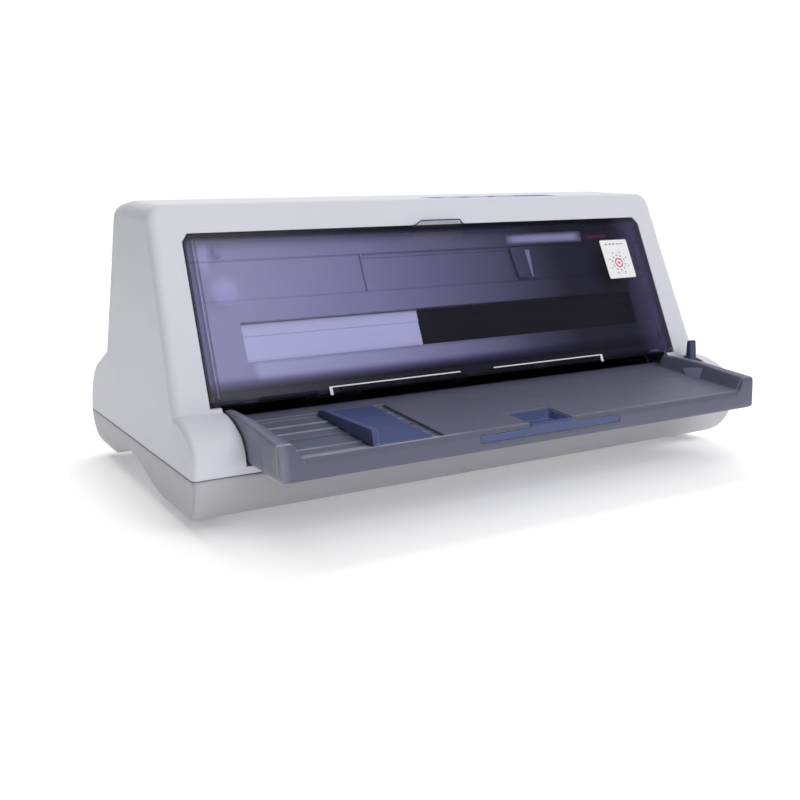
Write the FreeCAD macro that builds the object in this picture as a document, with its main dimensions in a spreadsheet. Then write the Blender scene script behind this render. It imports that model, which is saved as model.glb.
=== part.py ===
import FreeCAD, Part
import Sketcher
import os
import math

V = FreeCAD.Vector
doc = FreeCAD.newDocument("matrix_printer")

# Driving dimensions, millimetres and degrees.
SIZES = [
    # casing
    ("half_w", 192.0), ("draft", 0.05), ("part_z", 32.0), ("seam", 0.25), ("wall", 3.0),
    ("floor_z", 3.0), ("base_front_y", -102.5), ("base_rear_y", 147.75), ("corner_rad", 3.5), ("rear_rad", 3.0),
    ("face_y", -68.35), ("face_z", 63.2), ("face_slope", 0.4159), ("face_tilt", 22.58),
    ("top_front_z", 173.3), ("top_crest_y", 35.0), ("top_crest_z", 177.2), ("top_rear_y", 62.0), ("top_rear_z", 176.0),
    ("back_slope", 0.38), ("tower_rad", 10.0), ("tower_front_rad", 6.0), ("bay_half", 163.2), ("bay_floor_z", 36.4),
    ("open_low_half", 169.9), ("open_top_half", 168.1), ("open_low_z", 62.0), ("open_top_z", 156.8),
    ("outlet_half", 124.0), ("outlet_low_z", 51.0), ("outlet_top_z", 60.0),
    # tray
    ("tray_half", 162.0), ("tray_front_y", -147.75), ("tray_low_z", 36.4), ("tray_rear_y", -58.0),
    ("tray_front_z", 47.5), ("tray_rear_z", 54.6), ("tray_skin", 4.0), ("tray_side", 3.0), ("tray_rad", 2.2),
    ("recess_left", -148.0), ("recess_right", -65.5), ("recess_front_y", -143.5), ("recess_rear_y", -73.0), ("recess_deep", 1.8),
    ("guide_left", -108.0), ("guide_right", -73.0),
    ("support_left", -45.5), ("support_right", 51.0), ("notch_left", -12.0), ("notch_right", 18.0),
    # cover, measured in the plane of the slanted face
    ("cover_long", 100.8), ("cover_low_half", 169.3), ("cover_top_half", 167.5), ("cover_skin", 2.2), ("cover_lip", 7.0),
    ("hinge_in", 2.2), ("hinge_up", 2.5), ("hinge_pin", 1.6), ("hinge_bore", 1.65),
    # inner panel
    ("panel_in", 9.5), ("panel_skin", 2.5), ("window_left", -140.0), ("window_right", 152.0), ("window_low", 25.5), ("window_high", 49.5),
    # mechanism
    ("frame_in", 162.0), ("frame_skin", 2.0), ("paper_z", 50.0),
    ("platen_y", 10.0), ("platen_z", 40.2), ("platen_rad", 10.0), ("platen_shaft", 4.0),
    ("front_y", -25.0), ("front_z", 45.0), ("rear_y", 45.0), ("rear_z", 43.5), ("roll_rad", 7.0), ("roll_shaft", 3.0),
    ("pinch_rad", 5.0), ("pinch_shaft", 2.5), ("run_fit", 0.05), ("nip", 0.3),
    ("rail_y", 38.0), ("rail_z", 72.0), ("rail_rad", 6.0),
    ("belt_y", 70.0), ("belt_z", 74.0), ("pulley_x", 144.0), ("pulley_rad", 7.0), ("belt_skin", 1.4), ("belt_wide", 6.0),
    ("gear_mod", 1.0), ("roll_teeth", 26.0), ("idle_teeth", 22.0), ("pinion_teeth", 14.0), ("gear_wide", 6.0), ("gear_x", -175.0),
    # controls
    ("lever_x", 175.0), ("lever_y", -78.0), ("lever_z", 44.0),
    ("pad_left", 3.0), ("pad_right", 105.0), ("pad_front_y", -19.5), ("pad_rear_y", -1.5), ("pad_deep", 1.0),
]
sheet = doc.addObject("Spreadsheet::Sheet", "Sizes")
for row, (alias, value) in enumerate(SIZES, start=1):
    sheet.set("A%d" % row, alias)
    sheet.set("B%d" % row, str(value))
    sheet.setAlias("B%d" % row, alias)
doc.recompute()


class Dim:
    """A size: its number, and the expression that gives it from the size table."""
    def __init__(self, v, e):
        self.v = float(v)
        self.e = e

    def __add__(self, o):
        o = dim(o)
        return Dim(self.v + o.v, "(%s + %s)" % (self.e, o.e))
    __radd__ = __add__

    def __sub__(self, o):
        o = dim(o)
        return Dim(self.v - o.v, "(%s - %s)" % (self.e, o.e))

    def __rsub__(self, o):
        o = dim(o)
        return Dim(o.v - self.v, "(%s - %s)" % (o.e, self.e))

    def __mul__(self, o):
        o = dim(o)
        return Dim(self.v * o.v, "(%s * %s)" % (self.e, o.e))
    __rmul__ = __mul__

    def __truediv__(self, o):
        o = dim(o)
        return Dim(self.v / o.v, "(%s / %s)" % (self.e, o.e))

    def __neg__(self):
        return Dim(-self.v, "(-1 * %s)" % self.e)


def dim(x):
    if isinstance(x, Dim):
        return x
    return Dim(x, ("(%.6f)" % x) if x < 0 else ("%.6f" % x))


class Aliases:
    pass


S = Aliases()
for alias, value in SIZES:
    setattr(S, alias, Dim(float(getattr(sheet, alias)), "Sizes." + alias))


def bind(obj, prop, d):
    obj.setExpression(prop, dim(d).e)


def place(obj, x=0, y=0, z=0):
    bind(obj, "Placement.Base.x", x)
    bind(obj, "Placement.Base.y", y)
    bind(obj, "Placement.Base.z", z)


def box(name, x0, x1, y0, y1, z0, z1):
    """Block between two corners."""
    o = doc.addObject("Part::Box", name)
    bind(o, "Length", dim(x1) - x0)
    bind(o, "Width", dim(y1) - y0)
    bind(o, "Height", dim(z1) - z0)
    place(o, x0, y0, z0)
    return o


TURN = {"x": FreeCAD.Rotation(V(0, 1, 0), 90), "y": FreeCAD.Rotation(V(1, 0, 0), -90), "z": FreeCAD.Rotation()}


def rod(name, axis, r, start, length, a=0, b=0):
    """Cylinder along an axis from start; a and b are its other two coordinates in X, Y, Z order."""
    o = doc.addObject("Part::Cylinder", name)
    o.Placement = FreeCAD.Placement(V(0, 0, 0), TURN[axis])
    bind(o, "Radius", r)
    bind(o, "Height", length)
    if axis == "x":
        place(o, start, a, b)
    elif axis == "y":
        place(o, a, start, b)
    else:
        place(o, a, b, start)
    return o


def fuse(name, *objs):
    o = doc.addObject("Part::MultiFuse", name)
    o.Shapes = list(objs)
    return o


def cut(name, base, *tools):
    tool = tools[0] if len(tools) == 1 else fuse(name + "_tools", *tools)
    o = doc.addObject("Part::Cut", name)
    o.Base = base
    o.Tool = tool
    return o


def common(name, *objs):
    o = doc.addObject("Part::MultiCommon", name)
    o.Shapes = list(objs)
    return o


def group(name, *objs):
    o = doc.addObject("Part::Compound", name)
    o.Links = list(objs)
    return o


def mirror_x(name, src):
    o = doc.addObject("Part::Mirroring", name)
    o.Source = src
    o.Normal = V(1, 0, 0)
    return o


PLANES = {"XY": "XY_Plane", "XZ": "XZ_Plane", "YZ": "YZ_Plane"}


def outline(sk, pts):
    """Closed outline of (u, v) points. A third value is the radius of an arc that leaves the point
    for the next one: positive bulges out of the outline, negative into it."""
    n = len(pts)
    p = [(dim(q[0]), dim(q[1]), dim(q[2]) if len(q) > 2 else None) for q in pts]
    area = sum(p[i][0].v * p[(i + 1) % n][1].v - p[(i + 1) % n][0].v * p[i][1].v for i in range(n))
    turn = 1 if area > 0 else -1
    for i in range(n):
        a, b = p[i], p[(i + 1) % n]
        A, B = V(a[0].v, a[1].v, 0), V(b[0].v, b[1].v, 0)
        if a[2] is None:
            sk.addGeometry(Part.LineSegment(A, B), False)
        else:
            r = abs(a[2].v)
            half = (B - A).Length / 2
            sag = r - math.sqrt(max(r * r - half * half, 0.0))
            nrm = V((B - A).y, -(B - A).x, 0)
            nrm.normalize()
            side = turn if a[2].v > 0 else -turn
            mid = (A + B) * 0.5 + nrm * (sag * side)
            if (mid.x - A.x) * (B.y - mid.y) - (mid.y - A.y) * (B.x - mid.x) < 0:
                A, B = B, A
            sk.addGeometry(Part.Arc(A, mid, B), False)
    for i in range(n):
        j = (i + 1) % n
        ends = []
        for k in (i, j):
            g = sk.Geometry[k]
            near = math.hypot(g.StartPoint.x - p[j][0].v, g.StartPoint.y - p[j][1].v)
            far = math.hypot(g.EndPoint.x - p[j][0].v, g.EndPoint.y - p[j][1].v)
            ends.append(1 if near < far else 2)
        sk.addConstraint(Sketcher.Constraint("Coincident", i, ends[0], j, ends[1]))
        cx = sk.addConstraint(Sketcher.Constraint("DistanceX", -1, 1, j, ends[1], p[j][0].v))
        cy = sk.addConstraint(Sketcher.Constraint("DistanceY", -1, 1, j, ends[1], p[j][1].v))
        sk.setExpression("Constraints[%d]" % cx, p[j][0].e)
        sk.setExpression("Constraints[%d]" % cy, p[j][1].e)
    for i in range(n):
        if p[i][2] is not None:
            sk.addConstraint(Sketcher.Constraint("Radius", i, abs(p[i][2].v)))


def prism(name, plane, pts, length, start=None):
    """Padded outline. A YZ outline grows along +X, XZ along +Y, XY along +Z, from start over length,
    or both ways from the plane when no start is given."""
    body = doc.addObject("PartDesign::Body", name)
    sk = body.newObject("Sketcher::SketchObject", name + "_outline")
    ref = [f for f in body.Origin.OriginFeatures if f.Role == PLANES[plane]][0]
    sk.AttachmentSupport = [(ref, "")]
    sk.MapMode = "FlatFace"
    outline(sk, pts)
    pad = body.newObject("PartDesign::Pad", name + "_pad")
    pad.Profile = sk
    bind(pad, "Length", length)
    if start is None:
        pad.Midplane = True
    elif plane == "XZ":
        pad.Reversed = True
        place(body, 0, start, 0)
    elif plane == "YZ":
        place(body, start, 0, 0)
    else:
        place(body, 0, 0, start)
    return body


def rounded(name, base, radius, test, radius_of=None):
    """Rounds the edges of base that pass the test, all alike unless radius_of gives each edge its own radius."""
    doc.recompute()
    picked = [(i, dim(radius_of(e) if radius_of else radius).v) for i, e in enumerate(base.Shape.Edges, start=1) if test(e)]
    if not picked:
        raise RuntimeError("no edge to round on " + name)
    o = doc.addObject("Part::Fillet", name)
    o.Base = base
    o.Edges = [(i, r, r) for i, r in picked]
    doc.recompute()
    return o


def centre(e):
    return e.valueAt((e.FirstParameter + e.LastParameter) / 2)


def runs(e, axis, tol=0.03):
    a, b = e.valueAt(e.FirstParameter), e.valueAt(e.LastParameter)
    d = b - a
    if d.Length < 1e-6:
        return False
    d.normalize()
    return abs(abs(getattr(d, axis)) - 1) < tol


NODES = []


def node(label, obj):
    obj.Label = label
    NODES.append((label, obj))
    return obj


def on_face(obj):
    """Moves a piece drawn upright into the plane of the slanted face: X across, Z up the face, Y into the machine."""
    obj.Placement = FreeCAD.Placement(V(0, S.face_y.v, S.face_z.v), FreeCAD.Rotation(V(1, 0, 0), -S.face_tilt.v))
    bind(obj, "Placement.Base.y", S.face_y)
    bind(obj, "Placement.Base.z", S.face_z)
    return obj


def face_y_at(z):
    return S.face_y + (dim(z) - S.face_z) * S.face_slope


def back_y_at(z):
    return S.top_rear_y + (S.top_rear_z - z) * S.back_slope


TOP_SLOPE = (S.top_crest_z - S.top_front_z) / (S.top_crest_y - (S.face_y + (S.top_front_z - S.face_z) * S.face_slope))


def top_z_at(y):
    return S.top_crest_z - (S.top_crest_y - y) * TOP_SLOPE


TRAY_SLOPE = (S.tray_rear_z - S.tray_front_z) / (S.tray_rear_y - S.tray_front_y - 3.75)


def tray_z_at(y):
    return S.tray_rear_z - (S.tray_rear_y - y) * TRAY_SLOPE


# ---------------------------------------------------------------- upper case
zb = S.part_z + S.seam
w2 = S.half_w


def drafted(name, half, up=150):
    """Front view of the casing's sides, which lean in above the parting line."""
    return prism(name, "XZ", [(-half, zb), (half, zb), (half - S.draft * up, zb + up), (-half + S.draft * up, zb + up)], 420, -200)


tower_slab = prism("tower_slab", "YZ", [
    (face_y_at(zb), zb), (face_y_at(S.top_front_z), S.top_front_z), (S.top_crest_y, S.top_crest_z),
    (S.top_rear_y, S.top_rear_z), (back_y_at(zb), zb)], w2 * 2)
tower_sharp = common("tower_sharp", tower_slab, drafted("tower_sides", w2))
tower = rounded("tower", tower_sharp, S.tower_rad, lambda e: not (
    abs(centre(e).z - zb.v) < 0.1 or (abs(centre(e).y - S.top_crest_y.v) < 0.5 and abs(centre(e).x) < 1)),
    lambda e: S.tower_front_rad if centre(e).y < -10 and not (abs(centre(e).z - S.top_crest_z.v) < 6 and abs(centre(e).x) > 150) else S.tower_rad)

nose_slab = prism("nose_slab", "YZ", [
    (S.base_front_y, zb), (-103.6, 37.5, 16.9), (-97.0, 52.0, 53.0), (-73.0, 59.8), (-60.0, 60.3), (-40.0, 60.3), (-40.0, zb)], w2 * 2)
nose_sharp = common("nose_sharp", nose_slab, drafted("nose_sides", w2))
nose = rounded("nose", nose_sharp, S.corner_rad, lambda e: abs(centre(e).x) > 180 and centre(e).z > zb.v + 1
               and centre(e).y < -40.5 and not runs(e, "x"))

rear_slab = prism("rear_slab", "YZ", [
    (70.0, zb), (70.0, 84.2), (82.0, 84.2), (120.8, 69.4, 39.0), (142.8, 52.4, 34.8), (S.base_rear_y - 0.15, 38.0), (S.base_rear_y, zb)], w2 * 2)
rear_sharp = common("rear_sharp", rear_slab, drafted("rear_sides", w2))
rear_part = rounded("rear_part", rear_sharp, S.rear_rad, lambda e: abs(centre(e).x) > 180 and centre(e).z > zb.v + 1
                    and centre(e).y > 71 and not runs(e, "x"))

casing = fuse("casing", tower, nose, rear_part)

# hollow, one wall thickness inside
wi = w2 - S.wall
tower_in_slab = prism("tower_in_slab", "YZ", [
    (face_y_at(30) + 3.25, 30), (face_y_at(S.top_front_z - 3) + 3.25, S.top_front_z - 3), (S.top_crest_y, S.top_crest_z - 3),
    (S.top_rear_y - 2.6, S.top_rear_z - 3), (back_y_at(30) - 3.2, 30)], w2 * 2)
inner_sides = prism("inner_sides", "XZ", [
    (-wi - 0.15, 30), (wi + 0.15, 30), (wi + 0.15 - S.draft * 150, 180), (-wi - 0.15 + S.draft * 150, 180)], 420, -200)
tower_in_sharp = common("tower_in_sharp", tower_in_slab, inner_sides)
tower_in = rounded("tower_in", tower_in_sharp, 7.0, lambda e: not (
    abs(centre(e).z - 30) < 0.1 or (abs(centre(e).y - S.top_crest_y.v) < 0.5 and abs(centre(e).x) < 1)))
nose_in_pts = [(-99.4, 30), (-100.3, 37.5), (-98.4, 43.6), (-94.4, 49.4), (-88.0, 53.6), (-80.0, 55.6), (-60.0, 57.3), (-60.0, 30)]
nose_in_r = prism("nose_in_r", "YZ", nose_in_pts, 20.6, S.bay_half + S.wall)
nose_in_l = prism("nose_in_l", "YZ", nose_in_pts, 20.6, -S.bay_half - S.wall - 20.6)
rear_in = prism("rear_in", "YZ", [
    (70.0, 30), (70.0, 80.0), (84.0, 80.0), (102.4, 72.9), (119.6, 66.6), (131.4, 60.3), (140.0, 50.8), (144.4, 38.0), (144.4, 30)], 372)
bay_under = box("bay_under", -160, 160, -99.5, -60, 30, S.bay_floor_z - 3)
shell_raw = cut("shell_raw", casing, tower_in, nose_in_r, nose_in_l, rear_in, bay_under)

# ears that take the cover's pins, screw posts, bridge under the outlet
hinge_y = S.face_y + 2.991
hinge_z = S.face_z + 1.463
lug_pts = [(face_y_at(58) + 0.6, 58), (face_y_at(70) + 0.6, 70), (-58.5, 70), (-58.5, 58)]
lug_r = prism("lug_r", "YZ", lug_pts, 4.8, 170.2)
lug_l = prism("lug_l", "YZ", lug_pts, 4.8, -175.0)
posts = []
for k, (px, py, pz) in enumerate([(-176, -77, 37.5), (176, -77, 37.5), (-184.0, 118, 58), (184.0, 118, 58)]):
    posts.append(rod("post_%d" % k, "z", 4.6, zb, pz - zb, px, py))
ribs = [box("post_rib_%d" % k, px - 1.5, px + 1.5, -101.5, -77, zb, 37.5) for k, px in enumerate([-176, 176])]
posts_in = common("posts_in", fuse("posts", *(posts + ribs)), casing)
shell_full = fuse("shell_full", shell_raw, lug_r, lug_l, posts_in)

bay = box("bay", -S.bay_half, S.bay_half, -125, -50, S.bay_floor_z, S.open_low_z)
opening = prism("opening", "XZ", [
    (-S.open_low_half, S.open_low_z), (S.open_low_half, S.open_low_z), (S.open_top_half, S.open_top_z - 4.5),
    (S.open_top_half - 3.6, S.open_top_z), (-S.open_top_half + 3.6, S.open_top_z), (-S.open_top_half, S.open_top_z - 4.5)], 92, -94)
pin_holes = rod("pin_holes", "x", S.hinge_bore, -173.8, 347.6, hinge_y, hinge_z)
outlet = box("outlet", -S.outlet_half, S.outlet_half, 118, 160, S.outlet_low_z, S.outlet_top_z)
port_bay = box("port_bay", -78, 8, 130.0, 160, 34.5, 48.6)
side_bay_r = box("side_bay_r", 138, 178, 124, 160, 34.5, 62)
side_bay_l = box("side_bay_l", -178, -138, 124, 160, 34.5, 62)
lever_slot = box("lever_slot", 170.4, 179.6, -87.5, -70.2, 48, 66)
lever_bore = rod("lever_bore", "x", 2.02, 160, 29.0, S.lever_y, S.lever_z)
switch_hole = box("switch_hole", 180, 195, 60.6, 85.4, 39.3, 55.7)
pad_recess = prism("pad_recess", "YZ", [
    (S.pad_front_y, top_z_at(S.pad_front_y) - S.pad_deep), (S.pad_rear_y, top_z_at(S.pad_rear_y) - S.pad_deep),
    (S.pad_rear_y, 185), (S.pad_front_y, 185)], S.pad_right - S.pad_left, S.pad_left)
KEYS = [22.0, 44.0, 66.0]
LAMPS = [84.0, 91.0, 98.0]
key_pts_hole = [(-14.8, 165), (-6.2, 165), (-6.2, 185), (-14.8, 185)]
key_holes = [prism("key_hole_%d" % k, "YZ", key_pts_hole, 14.6, x - 7.3) for k, x in enumerate(KEYS, start=1)]
lamp_holes = [rod("lamp_hole_%d" % k, "z", 1.6, 160, 25, x, -10.5) for k, x in enumerate(LAMPS, start=1)]
screw_spots = [(-176, -77), (176, -77), (-184.0, 118), (184.0, 118)]
screw_low = [14.4, 14.4, 10.4, 10.4]
post_bores = [rod("post_bore_%d" % k, "z", 1.55, 30, 6.2 if k < 2 else 12.5, px, py) for k, (px, py) in enumerate(screw_spots)]
vents = [box("vent_%d" % k, -100 + 14 * k, -97.6 + 14 * k, 55, 120, 100, 140) for k in range(15)]
upper_case = cut("upper_case_cut", shell_full, bay, opening, pin_holes, outlet, lever_slot, lever_bore,
                 switch_hole, pad_recess, *(key_holes + lamp_holes + post_bores + vents))
# bezels with a pocket for each connector, let into the rear of the case
bezel_boxes = [box("bezel_box_r", 135, 181, 121, 160, zb, 70.5), box("bezel_box_l", -181, -135, 121, 160, zb, 70.5),
               box("bezel_box_c", -81, 11, 127, 160, zb, 50.9)]
bezel_r = cut("bezel_r", common("bezel_r_fill", casing, bezel_boxes[0]), side_bay_r, box("inlet_hole", 144.9, 171.3, 118, 128, 38.9, 57.5))
bezel_l = cut("bezel_l", common("bezel_l_fill", casing, bezel_boxes[1]), side_bay_l, box("usb_hole", -165.2, -152.8, 118, 128, 37.4, 49.4))
bezel_c = cut("bezel_c", common("bezel_c_fill", casing, bezel_boxes[2]), port_bay, box("parallel_hole", -68.2, -1.8, 118, 134, 37.4, 47.9))
node("upper_case", cut("upper_case_whole", upper_case, *bezel_boxes))
node("connector_bezels", group("connector_bezels", bezel_r, bezel_l, bezel_c))

# ---------------------------------------------------------------- lower case
zt = S.part_z - S.seam
fz = S.floor_z
low_side = prism("low_side", "YZ", [
    (S.base_front_y, zt, 29.7), (-81.8, 5.5, 53.0), (-65.7, fz), (114.0, fz, 33.0), (146.9, 24.0), (S.base_rear_y, zt)], w2 * 2)
# the sides turn under tightly in front of the hand grips and more roundly behind them
low_front = fuse("low_front",
    prism("low_front_a", "XZ", [
        (-w2, zt), (-190.9, 11.0, 8.0), (-182.9, fz), (182.9, fz, 8.0), (190.9, 11.0), (w2, zt)], 230, -200),
    prism("low_front_b", "XZ", [
        (-w2, zt), (-190.9, 17.0, 14.0), (-176.9, fz), (176.9, fz, 14.0), (190.9, 17.0), (w2, zt)], 190, 30))
c9, c3 = S.corner_rad, S.rear_rad
low_plan = prism("low_plan", "XY", [
    (-w2 + c9, S.base_front_y), (w2 - c9, S.base_front_y, c9), (w2, S.base_front_y + c9), (w2, S.base_rear_y - c3, c3),
    (w2 - c3, S.base_rear_y), (-w2 + c3, S.base_rear_y, c3), (-w2, S.base_rear_y - c3), (-w2, S.base_front_y + c9, c9)], 60, -10)
low_solid = common("low_solid", low_side, low_front, low_plan)
low_in = common("low_in", prism("low_in_side", "YZ", [
    (-99.4, 34, 26.7), (-80.9, 8.4, 50.0), (-65.7, fz + 3), (114.0, fz + 3, 30.0), (143.9, 24.6), (144.6, 34)], 378),
    prism("low_in_front", "XZ", [
        (-189, 34), (-187.9, 17.0, 11.0), (-176.9, fz + 3), (176.9, fz + 3, 11.0), (187.9, 17.0), (189, 34)], 420, -200))
# hand-grip arches under both sides, lined from inside
arch_pts = [(-46.6, -2.0), (-46.6, 2.5), (15.6, 19.3, 60.0), (46.9, 19.3), (117.5, 2.5), (117.5, -2.0)]
liner_pts = [(-58.0, -2.0), (-58.0, 2.9), (14.8, 22.6, 63.2), (47.7, 22.6), (130.0, 3.0), (130.0, -2.0)]
arch_roof = [(206, -2.0), (206, 36.0), (180.5, 10.5), (166.0, 2.5), (166.0, -2.0)]
liner_roof = [(206, -2.0), (206, 40.5), (178.7, 13.2), (162.0, 3.9), (162.0, -2.0)]
arch_r = common("arch_r", prism("arch_r_side", "YZ", arch_pts, 45, 162), prism("arch_r_roof", "XZ", arch_roof, 400, -200))
arch_l = mirror_x("arch_l", arch_r)
liner_r = common("liner_r", prism("liner_r_side", "YZ", liner_pts, 45, 160), prism("liner_r_roof", "XZ", liner_roof, 400, -200), low_solid)
liner_l = mirror_x("liner_l", liner_r)
low_posts = [rod("low_post_%d" % k, "z", 4.6, 8.0, S.part_z + S.seam - 8.0, px, py)
             for k, (px, py) in enumerate(screw_spots)]
low_posts_in = common("low_posts_in", fuse("low_posts", *low_posts), low_solid)
low_tips = [rod("low_tip_%d" % k, "z", 4.0, 31.0, zb - 31.0, px, py) for k, (px, py) in enumerate(screw_spots)]
stands = [rod("stand_%d" % k, "z", 4.0, fz + 2.5, 7.0 - fz + 0.5, px, py) for k, (px, py) in enumerate(
    [(-130, -40), (130, -40), (-130, 66), (130, 66)])]
low_bores = [rod("low_bore_%d" % k, "z", 1.8, 2, 32, px, py) for k, (px, py) in enumerate(screw_spots)]
low_sinks = [rod("low_sink_%d" % k, "z", 3.6, 1, screw_low[k] + 1.6, px, py) for k, (px, py) in enumerate(screw_spots)]
low_raw = cut("low_raw", low_solid, low_in)
low_built = fuse("low_built", low_raw, liner_r, liner_l, low_posts_in, *(stands + low_tips))
node("lower_case", cut("lower_case", low_built, arch_r, arch_l, *(low_bores + low_sinks)))

screws = []
for k, (px, py) in enumerate(screw_spots):
    z0 = screw_low[k]
    screws.append(fuse("screw_%d" % k, rod("screw_shank_%d" % k, "z", 1.5, z0 + 2.6, (35.6 if k < 2 else 41.0) - z0 - 2.6, px, py),
                       cut("screw_cap_%d" % k, rod("screw_head_%d" % k, "z", 3.2, z0, 2.6, px, py),
                           box("screw_slot_a_%d" % k, px - 2, px + 2, py - 0.4, py + 0.4, z0 - 0.4, z0 + 1.2),
                           box("screw_slot_b_%d" % k, px - 0.4, px + 0.4, py - 2, py + 2, z0 - 0.4, z0 + 1.2))))
node("case_screws", group("case_screws", *screws))

feet = []
for k, (x0, y0) in enumerate([(-181.4, -65.6), (170.6, -65.6), (-159.8, 100.0), (149.0, 100.0)]):
    f = box("foot_block_%d" % k, x0, x0 + 10.8, y0, y0 + 15.0, 0.0, fz)
    feet.append(rounded("foot_%d" % k, f, 1.6, lambda e: runs(e, "z") or abs(centre(e).z) < 0.01))
node("rubber_feet", group("rubber_feet", *feet))

# ---------------------------------------------------------------- paper tray
tf = S.tray_front_y
tray_block = prism("tray_block", "YZ", [
    (tf + 3, S.tray_low_z - 0.7, 3.0), (tf, S.tray_low_z + 2.3), (tf, 43.75, 3.76), (tf + 3.75, S.tray_front_z),
    (S.tray_rear_y, S.tray_rear_z), (S.tray_rear_y, 51.4), (-86.0, S.tray_low_z), (-103.8, S.tray_low_z)], S.tray_half * 2)
tray_under = prism("tray_under", "YZ", [
    (tf + 4, 30), (tf + 4, tray_z_at(tf + 4) - S.tray_skin), (-50, tray_z_at(-50) - S.tray_skin), (-50, 44), (-86.0, 30)],
    (S.tray_half - S.tray_side) * 2)
tray_wall_side = prism("tray_wall_side", "YZ", [
    (tf, 43), (tf + 0.7, 52.5, 3.5), (tf + 4.0, 55.4), (-119.0, 58.2, 300), (-70.2, 61.0), (-70.2, 50), (tf + 4, 43)], S.tray_half * 2)
tray_wall_front = prism("tray_wall_front", "XZ", [(148.5, 45.5), (158.3, 62), (S.tray_half, 62), (S.tray_half, 40), (148.5, 40)], 90, tf - 1)
wall_r = common("wall_r", tray_wall_side, tray_wall_front)
wall_l = mirror_x("wall_l", wall_r)
ct = S.tray_rad
tray_plan = prism("tray_plan", "XY", [
    (-S.tray_half + ct, tf), (S.tray_half - ct, tf, ct), (S.tray_half, tf + ct), (S.tray_half, -40), (-S.tray_half, -40),
    (-S.tray_half, tf + ct, ct)], 60, 20)
tray_ends = prism("tray_ends", "XZ", [
    (-S.tray_half + 5, S.tray_low_z - 0.7), (S.tray_half - 5, S.tray_low_z - 0.7, 5.0), (S.tray_half, S.tray_low_z + 4.3),
    (S.tray_half, 70), (-S.tray_half, 70), (-S.tray_half, S.tray_low_z + 4.3, 5.0)], 130, -160)
tray_shell = common("tray_shell", fuse("tray_sum", cut("tray_hollow", tray_block, tray_under), wall_r, wall_l), tray_plan, tray_ends)
recess = prism("recess", "YZ", [
    (S.recess_front_y, tray_z_at(S.recess_front_y) - S.recess_deep), (S.recess_rear_y, tray_z_at(S.recess_rear_y) - S.recess_deep),
    (S.recess_rear_y, 70), (S.recess_front_y, 70)], S.recess_right - S.recess_left, S.recess_left)
guide_slot = box("guide_slot", -146, -67.5, -112.5, -108.5, 40, 60)
support_slot_front = box("support_slot_front", S.support_left - 0.5, S.support_right + 0.5, tf - 2, -144.2, 40.6, 45.2)
support_slot_back = box("support_slot_back", S.support_left - 0.5, S.support_right + 0.5, -144.3, -140, 40.6, 43.4)
finger_notch = prism("finger_notch", "XY", [
    (S.notch_left, tf - 2), (S.notch_right, tf - 2), (S.notch_right, -124.0, 2.0), (S.notch_right - 2, -122.0),
    (S.notch_left + 2, -122.0, 2.0), (S.notch_left, -124.0)], 17, 43.4)
runners = fuse("runners",
               box("runner_l", -49.0, -46.2, -143, -92, 37.4, 46.0), box("ledge_l", -48.0, -42.5, -143, -92, 37.4, 40.5),
               box("runner_r", 51.7, 54.5, -143, -92, 37.4, 46.0), box("ledge_r", 48.0, 54.0, -143, -92, 37.4, 40.5))
runner_tops = common("runner_tops", fuse("runner_fill", box("runner_fill_l", -49.0, -46.2, -143.6, -92, 37.4, 60),
                                         box("runner_fill_r", 51.7, 54.5, -143.6, -92, 37.4, 60)), tray_block)
tray_built = fuse("tray_built", tray_shell, runners, runner_tops)
ridges = []
for k, ry in enumerate([-137.5, -128.0, -99.0, -86.0]):
    ridges.append(prism("ridge_%d" % k, "YZ", [
        (ry - 0.7, tray_z_at(ry - 0.7) - 2.4), (ry - 0.45, tray_z_at(ry - 0.45) - 1.3), (ry + 0.45, tray_z_at(ry + 0.45) - 1.3),
        (ry + 0.7, tray_z_at(ry + 0.7) - 2.4)], 76.0, -145.5))
tray_cut = cut("tray_cut", tray_built, recess, guide_slot, support_slot_front, support_slot_back, finger_notch)
node("paper_tray", fuse("paper_tray", tray_cut, *ridges))

# ---------------------------------------------------------------- sliding edge guide
gl, gr = S.guide_left, S.guide_right
guide_plate = prism("guide_plate", "YZ", [
    (-143.0, tray_z_at(-143.0) - 0.95), (-73.4, tray_z_at(-73.4) - 0.95), (-73.4, tray_z_at(-73.4) + 0.35), (-143.0, tray_z_at(-143.0) + 0.35)],
    gr - gl, gl)
guide_fin = prism("guide_fin", "YZ", [
    (-143.0, tray_z_at(-143.0) - 0.6), (-141.6, 53.6, 3.0), (-138.0, 55.7), (-80.0, 55.9), (-73.4, 54.6), (-73.4, tray_z_at(-73.4) - 0.6)],
    3.0, gl)
guide_keel = prism("guide_keel", "YZ", [
    (-112.1, tray_z_at(-112.1) - 5.6), (-108.9, tray_z_at(-108.9) - 5.6), (-108.9, tray_z_at(-108.9) - 0.6), (-112.1, tray_z_at(-112.1) - 0.6)],
    18.0, -100.0)
guide_foot = prism("guide_foot", "YZ", [
    (-116.5, tray_z_at(-116.5) - 5.6), (-104.5, tray_z_at(-104.5) - 5.6), (-104.5, tray_z_at(-104.5) - 4.35), (-116.5, tray_z_at(-116.5) - 4.35)],
    18.0, -100.0)
node("edge_guide", fuse("edge_guide", guide_plate, guide_fin, guide_keel, guide_foot))

# ---------------------------------------------------------------- pull-out paper support
support_bar = box("support_bar", S.support_left, S.support_right, tf + 0.15, -144.5, 40.9, 44.9)
support_plate = box("support_plate", S.support_left, S.support_right - 0.2, -144.6, -97, 40.9, 43.1)
support_mid = box("support_mid", S.notch_left + 0.4, S.notch_right - 0.4, tf + 0.15, -144.5, 44.0, 47.0)
support_sum = fuse("support_sum", support_bar, support_plate, support_mid)
node("paper_support", rounded("paper_support", support_sum, 0.8, lambda e: runs(e, "x") and abs(centre(e).y + 147.6) < 0.01
                              and abs(centre(e).z - 47.0) < 0.01))

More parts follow.
